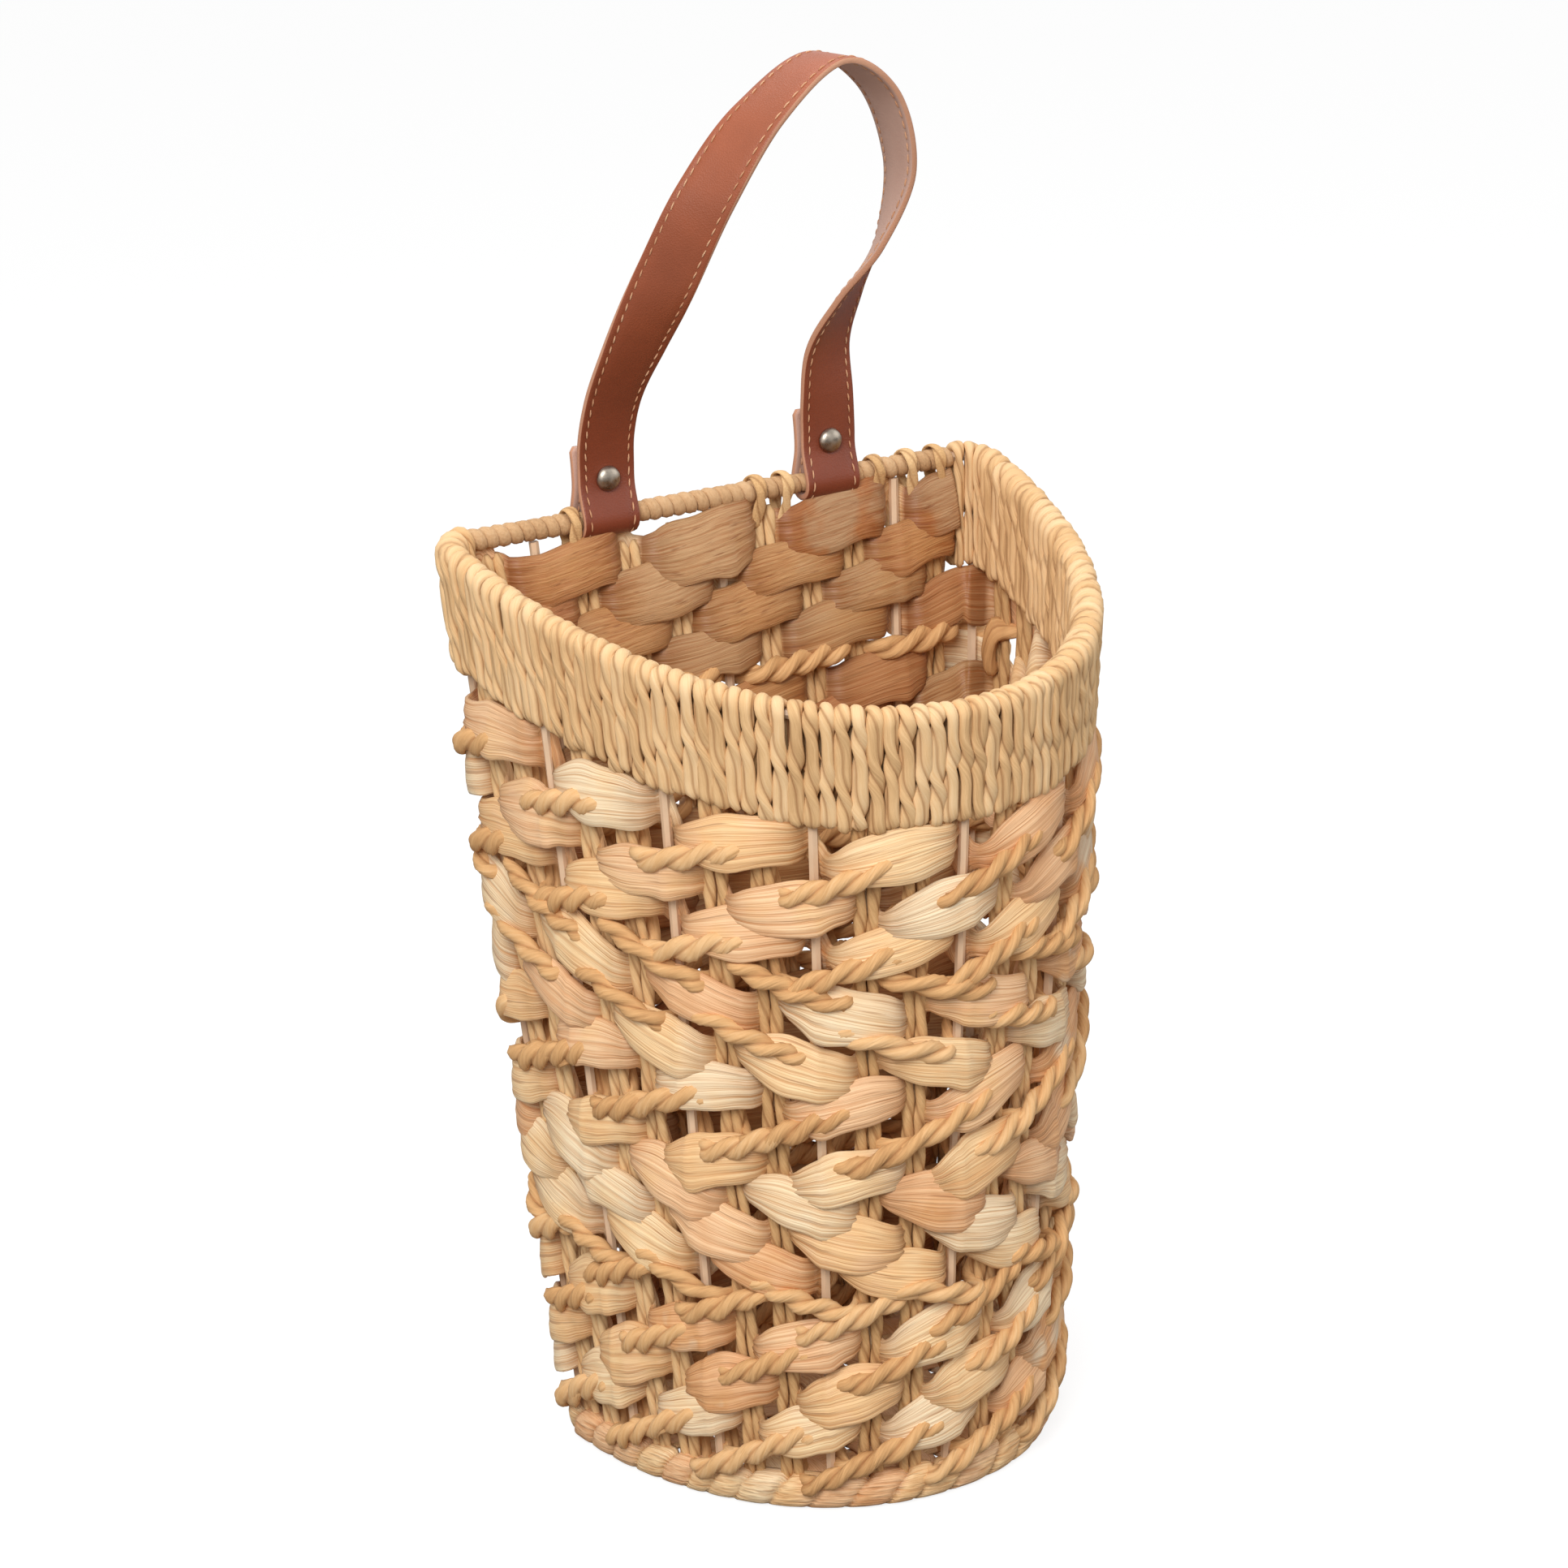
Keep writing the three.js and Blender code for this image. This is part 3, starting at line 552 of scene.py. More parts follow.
def hyacinth_course(number, up, start=0.0, end=STAKES, raised=0.0):
    dice = np.random.default_rng(500 + number).random((STAKES + 4, 10))

    def path(stake):
        part = float_at(number, stake)
        roll = dice[part.index]
        reach = WIRE_RADIUS + HYACINTH_THICKNESS / 2 + 0.2
        bulge = np.clip(part.near - BEHIND, 0, 1) + 0.9 * near_a_wire(stake, 0.13) * part.long
        lift = raised + part.height + FLOAT_STRAY * (roll[:, 8] - 0.5) * part.hump
        return swing_out(part.near, part.side, reach) + part.side * bulge, lift

    def shape(u, v, copy):
        stake = start + (end - start) * u
        part = float_at(number, stake)
        roll, next_roll = dice[part.index], dice[part.after]
        turn = 2 * math.pi * v
        across = np.cos(turn)
        at_back = on_the_back(stake)
        full = HYACINTH_WIDTH * (0.84 + 0.34 * roll[:, 1]) + BACK_MIDDLE * at_back
        neck_roll = roll[:, 9] * (1 - part.passed) + next_roll[:, 9] * part.passed
        neck = TIP_WIDTH + 4 * neck_roll + BLUNT_WIDTH * part.blunt + BACK_TIP * at_back
        skew = 0.6 * (roll[:, 0] - 0.5) * across
        sharpness = np.where(part.long, 0.85 - 0.25 * part.blunt + 0.4 * (neck_roll - 0.5), 0.3)
        bow = np.sin(math.pi * part.passed ** (1 + skew)) ** sharpness
        half = neck / 2 + bow * (full - neck) / 2
        half += CORNER_FILL * np.clip(-np.sign(across) * part.height / 5, 0, 1) * np.abs(across) * part.blunt
        half += WIRE_POINT * near_a_wire(stake, 0.3, 2) * part.long * np.clip(-across, 0, 1)
        half *= wall_rise(share_at(stake)) / FRONT_RISE * (1 + 0.04 * np.sin(5.1 * stake + 7 * roll[:, 2]))
        round_side = squared_off(np.sin(turn), 0.75)
        pleats = (np.sin(across * 11 + 9 * roll[:, 3] + 0.8 * np.sin(2.2 * stake))
                  + 0.8 * np.sin(across * 19 + 7 * roll[:, 4] - 0.6 * stake)
                  + 0.6 * np.sin(across * 31 + 5 * roll[:, 5]))
        pleats *= (0.09 + 0.3 * (1 - part.hump)) * (np.abs(np.sin(turn)) > 0.15)
        thick = HYACINTH_THICKNESS / 2 * (0.9 + 0.2 * part.hump)
        shingle = -part.side * part.hump * across * half * (0.2 + 0.1 * (roll[:, 6] - 0.5))
        deep = round_side * (thick + pleats) + shingle
        points = across_path(path, stake, up, across * half, deep, 0.3)
        # tuck is 1 where the strand tucks in and 0 at a float's middle; inner is 1 on floats inside the back
        # wall. The material paints shade on both.
        return points, {"tone": roll[:, 2] ** 1.5, "tuck": 1 - part.hump, "inner": (part.side < 0) * at_back}

    return shape


def ranged(tree, value, low, high, to_low=0.0, to_high=1.0):
    """The value from low to high, brought to run from to_low to to_high."""
    inputs = enumerate((value, low, high, to_low, to_high))
    return wire_up(tree, "ShaderNodeMapRange", inputs).outputs[0]


def hyacinth_material():
    """Dry leaf: streaks, folds and brown veins along the strand, painted shade at the ends where it tucks in,
    and painted shade with a browner tone on floats inside the back wall.
    """
    material, tree = blank_material("hyacinth")
    spot = wire_up(tree, "ShaderNodeTexCoord").outputs
    fine = noise(tree, stretched(tree, spot["UV"], (9, 76, 1)), 1, 3, roughness=0.6, distortion=0.3)
    folds = noise(tree, stretched(tree, spot["UV"], (20, 20, 1)), 1, 3)
    patch = noise(tree, spot["Object"], 48, 3)
    shift = work_out(tree, "MULTIPLY_ADD", patch, 0.7, strand_value(tree, "tone"))
    shift = work_out(tree, "SUBTRACT", shift, 0.35)
    leaf = colour_ramp(tree, shift, [
        (0.0, colour(255, 232, 194)), (0.2, colour(255, 222, 172)), (0.4, colour(252, 209, 153)),
        (0.58, colour(253, 211, 165)), (0.76, colour(247, 197, 148)), (0.9, colour(236, 180, 124)),
        (1.0, colour(242, 219, 186)),
    ])
    streaks = colour_ramp(tree, fine, [(0.34, colour(204, 158, 114)), (0.6, (1, 1, 1, 1))])
    tuck = strand_value(tree, "tuck")
    tint = mix_colours(tree, ranged(tree, tuck, 0.0, 1.0, 0.62, 1.0), leaf, streaks, "MULTIPLY")
    veins = noise(tree, stretched(tree, spot["UV"], (22, 50, 1)), 1, 2, roughness=0.45)
    tint = mix_colours(tree, ranged(tree, veins, 0.6, 0.72, 0.0, 0.6), tint, colour(168, 112, 70))
    # Painted shade: towards the ends where a float tucks in between the stakes, the leaf goes over to a dark
    # brown.
    ends = work_out(tree, "POWER", tuck, 1.8)
    ends = work_out(tree, "MULTIPLY", ends, 0.6)
    tint = mix_colours(tree, ends, tint, colour(160, 108, 64))
    # Painted shade, with a browner tone: floats lying inside the back wall are darkened.
    tint = mix_colours(tree, strand_value(tree, "inner"), tint, colour(196, 172, 150), "MULTIPLY")
    relief = work_out(tree, "MULTIPLY_ADD", folds, 1.4, fine)
    finish_surface(tree, tint, 0.43, relief, 0.7, 0.0006, {"Specular IOR Level": 0.4})
    return material


hyacinth = hyacinth_material()
course_ups = course_heights(COURSE_KINDS, WEAVE_LOW, WEAVE_HIGH)
for number, kind in enumerate(COURSE_KINDS):
    if kind == "H":
        course = wrap_grid(f"hyacinth_course_{number + 1:02d}", "basket", hyacinth, STAKES * HYACINTH_STEPS,
                           HYACINTH_AROUND, hyacinth_course(number, course_ups[number]), joined_ends=True)
        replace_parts(course, f"course_{number + 1:02d}_hyacinth")


# The back's upper rows: three more strands of hyacinth, woven like the courses, from corner to corner
# beside the front's band and pulled up towards the bar.
ROW_ENDS, ROW_STAKES = (-1.44, 9.44), 11  # where a row ends, in stakes, and how many it spans
ROW_RAISE = 0.7  # how much further up each row is pulled than the one below

row_ups = course_heights(BACK_ROW_KINDS, WEAVE_HIGH, ROWS_HIGH)
for i in range(len(BACK_ROW_KINDS)):
    row_shape = hyacinth_course(len(COURSE_KINDS) + i, row_ups[i], *ROW_ENDS, ROW_RAISE * i)
    row = wrap_grid(f"hyacinth_back_row_{i + 1}", "basket", hyacinth, ROW_STAKES * HYACINTH_STEPS,
                    HYACINTH_AROUND, row_shape)
    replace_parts(row, f"back_row_{i + 1}_hyacinth")


# The twisted cords: two plies of plant fibre, about 9 mm thick, woven like the hyacinth. Each float
# leans with its rib, so that cords in neighbouring courses join up into slanting ropes.
CORD_HIGH, CORD_DEEP = 4.9, 4.2  # half its height on the wall and half its depth
CORD_TWIST = 26  # length of one turn of its two plies
MEAN_LAP = 0.9  # roughly the lap half way up, as a share of the rim's
CORD_STEPS, CORD_AROUND = 18, 30  # mesh steps from stake to stake, and round the cord


def cord_course(number, up):
    dice = np.random.default_rng(900 + number).random((STAKES + 4, 4))
    turns = round(LAP * MEAN_LAP / CORD_TWIST)

    def path(stake):
        part = float_at(number, stake)
        out = swing_out(part.near, part.side, WIRE_RADIUS + CORD_DEEP - 0.1)
        out += part.side * 1.4 * np.clip(part.near - BEHIND, 0, 1)
        return out, part.height + 0.8 * (dice[part.index, 1] - 0.5) * part.hump

    def shape(u, v, copy):
        stake = STAKES * u
        part = float_at(number, stake)
        twist = 2 * math.pi * turns * u + 0.6 * np.sin(14 * math.pi * u)
        a, b, groove = two_ply(v, twist, 0.92)
        fibres = 1 + 0.035 * np.sin(18 * math.pi * v + 2 * np.sin(30 * math.pi * u))
        fibres = fibres + 0.03 * np.sin(26 * math.pi * v)
        a = a * fibres * wall_rise(share_at(stake)) / FRONT_RISE
        b = b * fibres
        swell = 0.86 + np.where(part.long, 0.14, 0.3) * part.hump + 0.05 * np.sin(40 * math.pi * u + number)
        points = across_path(path, stake, up, a * CORD_HIGH * swell, b * CORD_DEEP * swell, 0.8)
        # Floats behind the wall, on its inside, get a lower tone: painted shade.
        return points, {"tone": 0.15 + 0.7 * dice[part.index, 0] - 0.35 * (part.side < 0), "groove": groove}

    return shape


plant_cord = paper_cord_material("plant_cord", colour(174, 120, 70), colour(226, 176, 120),
                                 colour(252, 214, 164), (60, 17, 1))
for number, kind in enumerate(COURSE_KINDS):
    if kind == "C":
        course = wrap_grid(f"cord_course_{number + 1:02d}", "basket", plant_cord, STAKES * CORD_STEPS,
                           CORD_AROUND, cord_course(number, course_ups[number]), joined_ends=True)
        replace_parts(course, f"course_{number + 1:02d}_cord")


# The front band: 88 cords of two paper plies folded over the rim wire, side by side, worked down 44 mm
# outside and inside. Their long plies press together here and there and leave small dark slits.
BAND_CORDS = 88
BAND_RADIUS = 4.3  # from the rim wire's middle to the cords' middle
BAND_CORD_WIDTH, BAND_CORD_DEPTH = 1.2, 2.5  # its widest as a share of its room, and half its depth
BAND_SEAM = 0.4  # left free at either end of the band
BAND_TWIST = 38  # length of one turn of a cord's two plies
CORNER_DROP, CORNER_REACH = 3.5, 0.05  # how much longer the cords are at the corners, and how far from them


def folded_over(u, before, after, radius):
    """A cord folded over a bar, with so much of it hanging before the fold and after it: the place
    along it, the distance to its nearer end, its angle round the bar, and its height beside the bar."""
    arc = math.pi * radius
    run = u * (before + arc + after)
    angle = np.clip((run - before) / radius, 0, math.pi)
    height = np.where(run < before, run - before, np.where(run > before + arc, before + arc - run, 0))
    return run, np.minimum(run, before + arc + after - run), angle, height


def band_cords(u, v, copy):
    roll = np.random.default_rng(77).random((BAND_CORDS, 6))[copy]
    begin = FRONT_START - CORNER_SHARE / 2 + BAND_SEAM / LAP
    end = FRONT_END + CORNER_SHARE / 2 - BAND_SEAM / LAP
    spacing = (end - begin) / BAND_CORDS
    share = begin + spacing * (copy + 0.5)
    longer = CORNER_DROP * np.exp(-np.minimum(share - begin, end - share) / CORNER_REACH)
    outer = BAND_DEPTH - 0.5 + 3 * (roll[:, 0] - 0.6) + longer
    inner = BAND_DEPTH - 0.5 + 3 * (roll[:, 1] - 0.6) + longer
    run, from_end, angle, height = folded_over(u, outer, inner, BAND_RADIUS)
    crest = np.sin(angle) ** 0.5
    low = np.exp(-(from_end / 2.2) ** 2)
    turned = 2 * math.pi * (run / (BAND_TWIST + 8 * roll[:, 3]) + roll[:, 2])
    turned = turned + 0.7 * np.sin(run / 4.5 + 9 * roll[:, 1])
    a, b, groove = two_ply(v, -turned, 0.84 * (1 - 0.4 * crest))
    pinch = 0.35 + 0.65 * fade(0.02, u)
    sway = 0.4 * np.sin(0.7 * turned + 9 * roll[:, 5]) * (1 - crest) + 0.4 * (roll[:, 3] - 0.5)
    across = spacing * LAP / 2 * (BAND_CORD_WIDTH - 0.1 * crest + 0.1 * (roll[:, 5] - 0.5)) * a * pinch + sway
    from_wire = BAND_RADIUS * (1 - 0.2 * low) + BAND_CORD_DEPTH * b * pinch
    points = on_wall(share + across / LAP, 1.0, from_wire * np.cos(angle), from_wire * np.sin(angle) + height)
    # The tone is raised on the crest of the fold: a painted highlight on the band's top.
    return points, {"tone": 0.2 + 0.6 * roll[:, 4] + 0.15 * crest, "groove": groove}


band_paper = paper_cord_material("band_paper", colour(180, 134, 84), colour(230, 188, 136),
                                 colour(250, 220, 176), (5, 16, 1))
band = wrap_grid("folded_band", "basket", band_paper, along=56, around=16, shape=band_cords,
                 copies=BAND_CORDS)
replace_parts(band, "front_band")


# The back bar's winding: flat paper cord wound on the rim wire, 5.5 mm a turn, in three lengths that
# meet under the strap's loops.
WRAP_PITCH = 5.5
WRAP_HALF_WIDTH, WRAP_HALF_THICKNESS = 2.85, 1.15
WRAP_RADIUS = 3.45  # from the bar's middle to the middle of the paper
BAR_END = 112.6  # how far either end of the winding is from the bar's middle
LOOP_PRESS, PRESS_REACH = 0.7, 16  # how far the loops press it in, and how far that reaches either way


def winding(from_place, to_place, seed):
    turns = int((to_place - from_place) / WRAP_PITCH)
    begin = (from_place + to_place - turns * WRAP_PITCH) / 2
    dice = np.random.default_rng(seed).random((turns + 2, 4))

    def shape(u, v, copy):
        turn = u * turns
        whole = np.arange(turns + 2)
        swell = np.interp(turn, whole, dice[:, 0])
        slip = np.interp(turn, whole, dice[:, 1]) - 0.5
        angle = 2 * math.pi * turn
        round_v = 2 * math.pi * v
        ends = 0.6 + 0.4 * fade(0.2 / turns, u)
        wide = WRAP_HALF_WIDTH * np.cos(round_v) * ends
        crown = squared_off(np.sin(round_v), 0.8)
        crown = crown + 0.12 * np.sin(9 * np.cos(round_v) + 6 * swell)
        x = begin + WRAP_PITCH * turn + 0.5 * slip + wide
        pressed = np.exp(-((np.abs(x) - LOOP_PLACE) / PRESS_REACH) ** 6)
        radius = WRAP_RADIUS + 0.3 * (swell - 0.5) + WRAP_HALF_THICKNESS * crown * ends
        radius = radius - 0.18 * (wide / 2.6) ** 2 - LOOP_PRESS * pressed
        y = BACK_PLACE + radius * np.cos(angle)
        z = BAR_HEIGHT + radius * np.sin(angle)
        return np.stack([x, y, z], axis=-1) * MM, {"tone": 0.15 + 0.7 * swell}

    return shape, turns


bar_paper = paper_cord_material("bar_paper", colour(158, 116, 76), colour(204, 163, 119),
                                colour(226, 192, 152), (200, 14, 1))
wraps = {"left": (-BAR_END, -LOOP_PLACE), "middle": (-LOOP_PLACE, LOOP_PLACE), "right": (LOOP_PLACE, BAR_END)}
for seed, (name, (start, end)) in enumerate(wraps.items()):
    shape, turns = winding(start, end, 40 + seed)
    wound = wrap_grid(f"bar_winding_{name}", "basket", bar_paper, along=turns * 24, around=14, shape=shape)
    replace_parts(wound, f"bar_wrap_{name}")


# The cords over the bar: twisted paper cord like the stakes. Some cords of the back come up out of its
# top row, fold over the bar and go down again on its other side.
OVER_BAR = (-68, 18, 31, 75, 91, 105)  # their places from the bar's middle
FOLD_RADIUS, FOLD_DROP = 5.8, 15.0  # from the bar's middle, and how far down both ends go
FOLD_HALF = 2.1


def bar_folds(u, v, copy):
    place = np.array(OVER_BAR)[copy]
    run, _, angle, height = folded_over(u, FOLD_DROP, FOLD_DROP, FOLD_RADIUS)
    pull = np.clip(-height / FOLD_DROP, 0, 1)
    lean = (np.sin(copy * 5.3) * 2.0) * pull
    centre = FOLD_RADIUS * np.cos(angle) * (1 - 0.55 * pull)
    a, b, groove = two_ply(v, copy - run / 4, 0.8)
    thick = FOLD_HALF * (0.4 + 0.6 * fade(0.03, u))
    x = place + lean + a * thick * 1.4
    y = BACK_PLACE + centre + 0.5 * b * thick * np.cos(angle)
    z = BAR_HEIGHT + FOLD_RADIUS * np.sin(angle) + height + 0.5 * b * thick * np.sin(angle)
    return np.stack([x, y, z], axis=-1) * MM, {"tone": 0.5 + 0.4 * np.sin(copy * 3.7), "groove": groove}


folds = wrap_grid("cords_over_bar", "basket", stake_paper, along=44, around=12, shape=bar_folds,
                  copies=len(OVER_BAR))


# The base rim: flat leaf bound round the base wire and the stakes' lower ends, 15 mm tall, each wrap 10 to 17
# mm wide and a little slanted, with a seam beside it that is darkened with painted shade. The basket stands
# on it.
BINDING_WRAPS = 40
BINDING_HALF = 5.9  # half its thickness
LEAF_TALL, LEAF_TALL_INSIDE = 15.2, 10.2
BASE_LAP = 0.8  # roughly the lap at the base, as a share of the rim's


def base_binding(u, v, copy):
    rng = np.random.default_rng(31)
    width = 0.75 + 0.5 * rng.random(BINDING_WRAPS)
    seams = np.concatenate([[0], np.cumsum(width)]) / width.sum()
    dice = rng.random((BINDING_WRAPS, 4))
    turn = 2 * math.pi * v
    slant = 0.35 * np.sin(turn) / BINDING_WRAPS
    place = np.mod(u + slant, 1)
    index = np.clip(np.searchsorted(seams, place, side="right") - 1, 0, BINDING_WRAPS - 1)
    roll = dice[index]
    near = np.minimum(place - seams[index], seams[index + 1] - place) * LAP * BASE_LAP
    seam = np.exp(-(near / 1.1) ** 2)
    passed = (place - seams[index]) / (seams[index + 1] - seams[index])
    reach = 0.92 + 0.4 * passed * (1 - passed) - 0.25 * seam + 0.08 * (roll[:, 0] - 0.5) * (1 - seam)
    pleat = 0.12 * np.sin(14 * v * math.pi + 9 * passed + 6 * roll[:, 1]) * (1 - seam)
    out = squared_off(np.cos(turn), 0.7) * BINDING_HALF * reach + pleat * np.cos(turn)
    tall = np.where(np.cos(turn) > -0.15, LEAF_TALL, LEAF_TALL_INSIDE)
    rise = 0.5 + 0.5 * squared_off(np.sin(turn), 0.7)
    height = tall * np.where(rise > 0.5, 0.5 + (rise - 0.5) * reach, rise)
    points = on_wall(u, 0.0, out, np.maximum(height, 0.1) - BASE_WIRE_HEIGHT)
    # The seam is passed on as tuck, which the leaf material darkens: painted shade in the crease between
    # wraps.
    return points, {"tone": 0.1 + 0.75 * roll[:, 2], "tuck": 0.75 * seam}


def binding_material():
    material = hyacinth.copy()
    material.name = "binding_leaf"
    for node in material.node_tree.nodes:
        if node.type == "MAPPING":
            node.inputs["Scale"].default_value = (46, 40, 1)
    return material


binding = wrap_grid("leaf_binding", "basket", binding_material(), along=BINDING_WRAPS * 14, around=26,
                    shape=base_binding, joined_ends=True)
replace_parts(binding, "base_binding")


# The floor: a mat of flat hyacinth strands, each crossing over one and under the next. Its edge is held
# inside the binding.
FLOOR_LEVEL, STRIP_PITCH, STRIP_WIDTH = 12.0, 13.2, 12.4
STRIP_SWING, STRIP_HALF = 1.0, 1.1  # how far a strip passes over and under, and half its thickness
FLOOR_EDGE, FLOOR_RISE = -3.2, 3  # where its edge meets the wall: out of it, and up from the base wire


def floor_outline():
    edge = on_wall(np.linspace(0, 1, 361), FLOOR_RISE / BACK_RISE, FLOOR_EDGE) / MM
    return edge[:, 0], edge[:, 1]


edge_x, edge_y = floor_outline()


def chord(place, along_x):
    """Both ends of a straight strip of the floor."""
    fixed, free = (edge_y, edge_x) if along_x else (edge_x, edge_y)
    crossing = np.flatnonzero((fixed[:-1] - place) * (fixed[1:] - place) <= 0)
    share = (place - fixed[crossing]) / (fixed[crossing + 1] - fixed[crossing] + 1e-12)
    ends = free[crossing] + share * (free[crossing + 1] - free[crossing])
    return ends.min(), ends.max()


def strip_places(low, high):
    count = int((high - low - 2) / STRIP_PITCH)
    middle = (low + high) / 2
    return [middle + (i - (count - 1) / 2) * STRIP_PITCH for i in range(count)]


floor_strips = [(place, True) for place in strip_places(edge_y.min(), edge_y.max())]
floor_strips += [(place, False) for place in strip_places(edge_x.min(), edge_x.max())]


def floor_weave(u, v, copy):
    points = np.zeros((len(u), 3))
    tone = np.zeros(len(u))
    for i, (place, along_x) in enumerate(floor_strips):
        mine = copy == i
        low, high = chord(place, along_x)
        run = low + (high - low) * u[mine]
        turn = 2 * math.pi * v[mine]
        centre = (edge_x.min() + edge_x.max()) / 2 if along_x else (edge_y.min() + edge_y.max()) / 2
        phase = math.pi * ((run - centre) / STRIP_PITCH + i + (0 if along_x else 1))
        ends = 0.5 + 0.5 * fade(0.02, u[mine])
        across = place + STRIP_WIDTH / 2 * np.cos(turn) * ends
        height = FLOOR_LEVEL + STRIP_SWING * np.cos(phase) + STRIP_HALF * np.sin(turn) * ends
        height = height + 0.1 * np.sin(9 * np.cos(turn))
        points[mine] = np.stack([run, across, height] if along_x else [across, run, height], axis=-1)
        tone[mine] = 0.3 + 0.6 * math.sin(i * 7.7) ** 2
    return points * MM, {"tone": tone, "tuck": tone * 0}


floor_leaf = hyacinth.copy()
floor_leaf.name = "floor_leaf"
woven_floor = wrap_grid("floor_weave", "basket", floor_leaf, along=60, around=14, shape=floor_weave,
                        copies=len(floor_strips))
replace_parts(woven_floor, "woven_floor")


# The strap: one length of tan leather, 25 mm wide and 2.8 mm thick, cut square with pale edges. Each
# end goes under the bar and comes up behind as a short tail. Its face is outside, its flesh side inside.
STRAP_THICKNESS = 2.8
LOOP_RADIUS = 6.2  # from the bar's middle to the middle of the leather round it
PINCH = 2.8  # the same at the rivets, where its two layers come closest
RIVET_RISE, TAIL_RISE = 17, 30  # how far above the bar's middle the rivets and the tails' ends are
STRAP_ROUTE = [
    [-53, -6, 34, 0], [-53, -14, 52, -3], [-50, -28, 75, -18], [-44.5, -46, 104, -44], [-34, -60, 136, -55],
    [-13, -67.5, 167, -66], [20, -64, 185, -80], [46, -58, 170, -85], [60, -50, 138, -95],
    [58.5, -37, 106, -118], [53, -20, 80, -144], [50, -8, 58, -163], [51, -4.5, 36, -177],
]  # across, forward and up from the bar's middle, and the leather's turn in degrees


def strap_knots():
    loop = [[-LOOP_PLACE, LOOP_RADIUS * math.cos(a), -LOOP_RADIUS * math.sin(a), 0]
            for a in np.linspace(0, math.pi, 9)]
    left = [[-LOOP_PLACE, PINCH + 1, TAIL_RISE, 0], [-LOOP_PLACE, PINCH, RIVET_RISE + 4, 0],
            [-LOOP_PLACE, PINCH, RIVET_RISE - 4, 0], *loop, [-LOOP_PLACE, -PINCH, RIVET_RISE - 4, 0],
            [-LOOP_PLACE, -PINCH, RIVET_RISE + 4, 0]]
    right = [[-x, y, z, -180] for x, y, z, _ in reversed(left)]
    return np.array(left + STRAP_ROUTE + right, float)


def eased(start, end, start_pull, end_pull, share):
    """Between two values, leaving and arriving with the given pulls."""
    return (start + start_pull * share + (3 * (end - start) - 2 * start_pull - end_pull) * share ** 2
            + (2 * (start - end) + start_pull + end_pull) * share ** 3)


def smooth_route(knots, per_span):
    """A curve through the knots, with its spans eased by the knots' distances."""
    points = knots[:, :3]
    before = np.vstack([2 * points[0] - points[1], points, 2 * points[-1] - points[-2]])
    turns = np.concatenate([[knots[0, 3]], knots[:, 3], [knots[-1, 3]]])
    made, angles = [], []
    for i in range(len(points) - 1):
        p0, p1, p2, p3 = before[i:i + 4]
        d0, d1, d2 = [np.sum((b - a) ** 2) ** 0.25 for a, b in ((p0, p1), (p1, p2), (p2, p3))]
        t1 = ((p1 - p0) / d0 - (p2 - p0) / (d0 + d1) + (p2 - p1) / d1) * d1
        t2 = ((p2 - p1) / d1 - (p3 - p1) / (d1 + d2) + (p3 - p2) / d2) * d1
        share = np.arange(per_span if i < len(points) - 2 else per_span + 1)[:, None] / per_span
        made.append(eased(p1, p2, t1, t2, share))
        q0, q1, q2, q3 = turns[i:i + 4]
        angles.append(eased(q1, q2, (q2 - q0) / 2, (q3 - q1) / 2, share[:, 0]))
    return np.vstack(made), np.radians(np.concatenate(angles))


route, route_turn = smooth_route(strap_knots(), per_span=16)
route_along = np.gradient(route, axis=0)
route_along /= np.linalg.norm(route_along, axis=1)[:, None]
route_side = np.stack([np.cos(route_turn), np.sin(route_turn), 0 * route_turn], axis=-1)
route_side -= route_along * np.sum(route_side * route_along, axis=1)[:, None]
route_side /= np.linalg.norm(route_side, axis=1)[:, None]
route_up = np.cross(route_along, route_side)
route_run = np.concatenate([[0], np.cumsum(np.linalg.norm(np.diff(route, axis=0), axis=1))])
STRAP_LENGTH = route_run[-1]


def on_strap(run, across, above):
    """Metres from millimetres along the strap, across it and above its middle."""
    at, side, up = [np.stack([np.interp(run, route_run, part[:, i]) for i in range(3)], axis=-1)
                    for part in (route, route_side, route_up)]
    points = at + side * across[:, None] + up * above[:, None]
    return (points + [0, BACK_PLACE, BAR_HEIGHT]) * MM


# Half of the leather's section, with a groove pressed in by each row of stitches.
STITCH_LINE = 9.7
face_across = [-12.1, -11.2, -10.3, -9.7, -9.1, -6, -2, 2, 6, 9.1, 9.7, 10.3, 11.2, 12.1]
face_above = [1.28, 1.38, 1.36, 1.12, 1.36, 1.4, 1.42, 1.42, 1.4, 1.36, 1.12, 1.36, 1.38, 1.28]
section_across = np.array(face_across + [12.42, 12.5, 12.42] + face_across[::-1] + [-12.42, -12.5, -12.42])
section_above = np.array([-a for a in face_above] + [-0.95, 0, 0.95] + face_above + [0.95, 0, -0.95])
# 0 on the face, 0.5 on the cut edges and 1 on the flesh side.
section_zone = np.array([0] * len(face_across) + [0.5] * 3 + [1] * len(face_across) + [0.5] * 3)
SECTION = len(section_across)


def strap_leather(u, v, copy):
    run = u * STRAP_LENGTH
    corner = np.rint(v * SECTION).astype(int) % SECTION
    ends = 1 - 0.12 * (1 - fade(0.004, u))
    points = on_strap(run, section_across[corner] * ends, section_above[corner])
    # crown is 1 at the top of the strap's arch, where the material paints a highlight.
    return points, {"zone": section_zone[corner], "crown": np.sin(math.pi * u) ** 2}


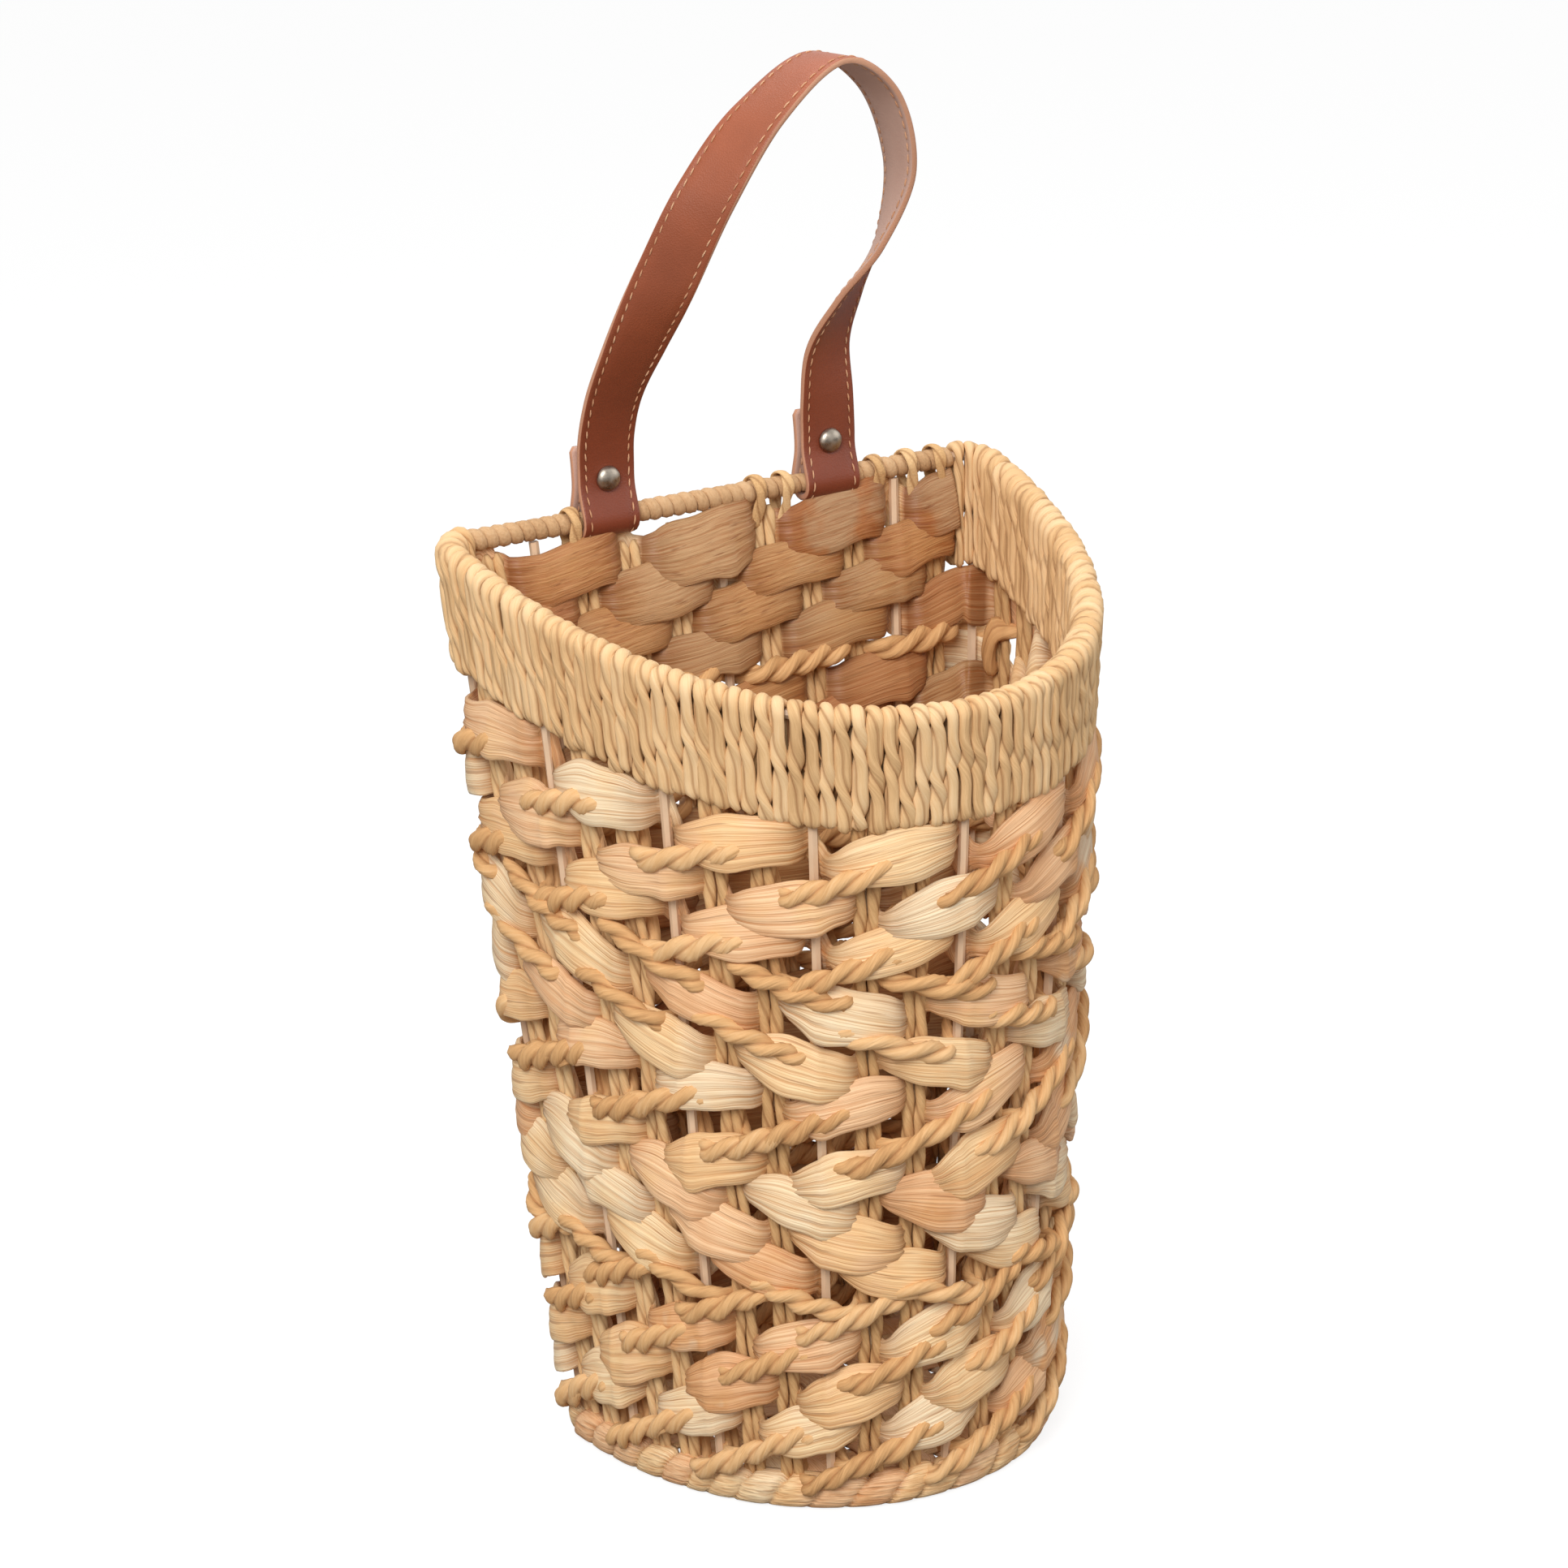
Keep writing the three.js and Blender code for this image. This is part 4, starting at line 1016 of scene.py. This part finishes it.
def leather_material():
    """Smooth tan leather with a painted highlight that makes it paler at its crown, pale cut edges and a soft
    pinkish flesh side.
    """
    material, tree = blank_material("strap_leather")
    spot = wire_up(tree, "ShaderNodeTexCoord").outputs
    grain = wire_up(tree, "ShaderNodeTexVoronoi", {"Vector": spot["Object"], "Scale": 1500.0})
    cloud = noise(tree, spot["Object"], 38, 5)
    zone = strand_value(tree, "zone")
    # Painted highlight: the face goes paler towards the top of the strap's arch.
    face = mix_colours(tree, strand_value(tree, "crown"), colour(126, 58, 36), colour(160, 85, 53))
    face = mix_colours(tree, 1.0, face, ranged(tree, cloud, 0.3, 0.7, 0.86, 1.08), "MULTIPLY")
    flesh = mix_colours(tree, cloud, colour(186, 146, 128), colour(210, 176, 160))
    cut = mix_colours(tree, cloud, colour(186, 128, 98), colour(214, 162, 130))
    tint = mix_colours(tree, ranged(tree, zone, 0.1, 0.45), face, cut)
    tint = mix_colours(tree, ranged(tree, zone, 0.6, 0.9), tint, flesh)
    relief = work_out(tree, "MULTIPLY_ADD", cloud, 1.5, grain.outputs["Distance"])
    finish_surface(tree, tint, ranged(tree, zone, 0.1, 0.6, 0.44, 0.8), relief, 0.3, 0.0003)
    return material


strap = wrap_grid("strap_leather", "strap", leather_material(), along=260, around=SECTION,
                  shape=strap_leather)
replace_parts(strap, "leather_strap")


# The stitching: pale waxed thread sewn through the leather in a row near each edge, so that it shows by
# turns on the face and on the flesh side.
STITCH_PITCH, STITCH_LENGTH, THREAD = 5.0, 3.6, 0.7
FIRST_STITCH, UNSEWN = 4, 6  # from the leather's end, and how much of its length has no stitch
THREAD_SEAT = 1.3  # from the leather's middle
STITCHES = int((STRAP_LENGTH - UNSEWN) / STITCH_PITCH)


def stitch_rows(u, v, copy):
    edge = np.where(copy % 2 == 0, -1, 1)
    face = np.where((copy // 2) % 2 == 0, -1, 1)
    place = FIRST_STITCH + STITCH_PITCH * (copy // 4) + np.where(face > 0, STITCH_PITCH / 2, 0)
    turn = 2 * math.pi * v
    thick = THREAD / 2 * (0.25 + 0.75 * np.sin(math.pi * np.clip(u, 0, 1)) ** 0.5)
    run = place + STITCH_LENGTH * (u - 0.5)
    across = edge * STITCH_LINE + thick * np.cos(turn) + 0.35 * edge * (u - 0.5)
    above = face * (THREAD_SEAT + 0.16 * np.sin(math.pi * u)) + thick * np.sin(turn)
    return on_strap(run, across, above), {"tone": 0.5 + 0.4 * np.sin(copy * 1.7)}


thread = paper_cord_material("waxed_thread", colour(186, 126, 90), colour(222, 168, 128),
                             colour(238, 196, 160), (3, 5, 1))
stitches = wrap_grid("strap_stitching", "strap", thread, along=5, around=6, shape=stitch_rows,
                     copies=4 * STITCHES)


# The rivets: a domed cap of aged nickel on the face, its post through both layers, and a small flat
# cap behind the tail. They are turned, so each is a profile spun round its axis.
CAP_RADIUS, CAP_RISE, BACK_CAP_RADIUS, BACK_CAP_THICKNESS, POST_RADIUS = 5.25, 3, 4.5, 2, 2
SEAT = PINCH + STRAP_THICKNESS / 2 + CLEAR


def nickel_material():
    material, tree = blank_material("aged_nickel")
    spot = wire_up(tree, "ShaderNodeTexCoord").outputs
    scuff = noise(tree, spot["Object"], 420, 6)
    tint = mix_colours(tree, scuff, colour(120, 108, 96), colour(196, 186, 172))
    roughness = ranged(tree, scuff, 0.3, 0.7, 0.24, 0.46)
    finish_surface(tree, tint, roughness, scuff, 0.2, 0.0002, {"Metallic": 1.0})
    return material


nickel = nickel_material()


def spun(name, profile, across):
    bm = bmesh.new()
    verts = [bm.verts.new((radius * MM, along * MM, 0)) for radius, along in profile]
    edges = [bm.edges.new(pair) for pair in zip(verts, verts[1:])]
    bmesh.ops.spin(bm, geom=verts + edges, cent=(0, 0, 0), axis=(0, 1, 0), angle=2 * math.pi, steps=40,
                   use_merge=True)
    bmesh.ops.remove_doubles(bm, verts=bm.verts, dist=1e-6)
    bmesh.ops.translate(bm, verts=bm.verts,
                        vec=(across * MM, BACK_PLACE * MM, (BAR_HEIGHT + RIVET_RISE) * MM))
    bmesh.ops.recalc_face_normals(bm, faces=bm.faces)
    for face in bm.faces:
        face.smooth = True
    mesh = bpy.data.meshes.new(name)
    bm.to_mesh(mesh)
    bm.free()
    mesh.materials.append(nickel)
    piece = bpy.data.objects.new(name, mesh)
    scene.collection.objects.link(piece)
    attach(piece, "strap")
    return piece


dome = [(CAP_RADIUS * math.sin(a), -SEAT - CAP_RISE * math.cos(a) ** 0.9) for a in np.linspace(0, 1.5, 9)]
cap_profile = dome + [(CAP_RADIUS, -SEAT), (POST_RADIUS, -SEAT), (POST_RADIUS, SEAT + 1), (0, SEAT + 1)]
back_profile = [(0, SEAT + 1.3), (2.3, SEAT + 1.3), (2.3, SEAT), (4.2, SEAT), (BACK_CAP_RADIUS, SEAT + 0.4),
                (BACK_CAP_RADIUS, SEAT + 1), (3.9, SEAT + 1.7), (2.4, SEAT + BACK_CAP_THICKNESS),
                (0, SEAT + BACK_CAP_THICKNESS)]
for side, across in (("left", -LOOP_PLACE), ("right", LOOP_PLACE)):
    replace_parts(spun(f"rivet_cap_{side}", cap_profile, across), f"rivet_{side}")
    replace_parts(spun(f"rivet_washer_{side}", back_profile, across), f"rivet_back_{side}")
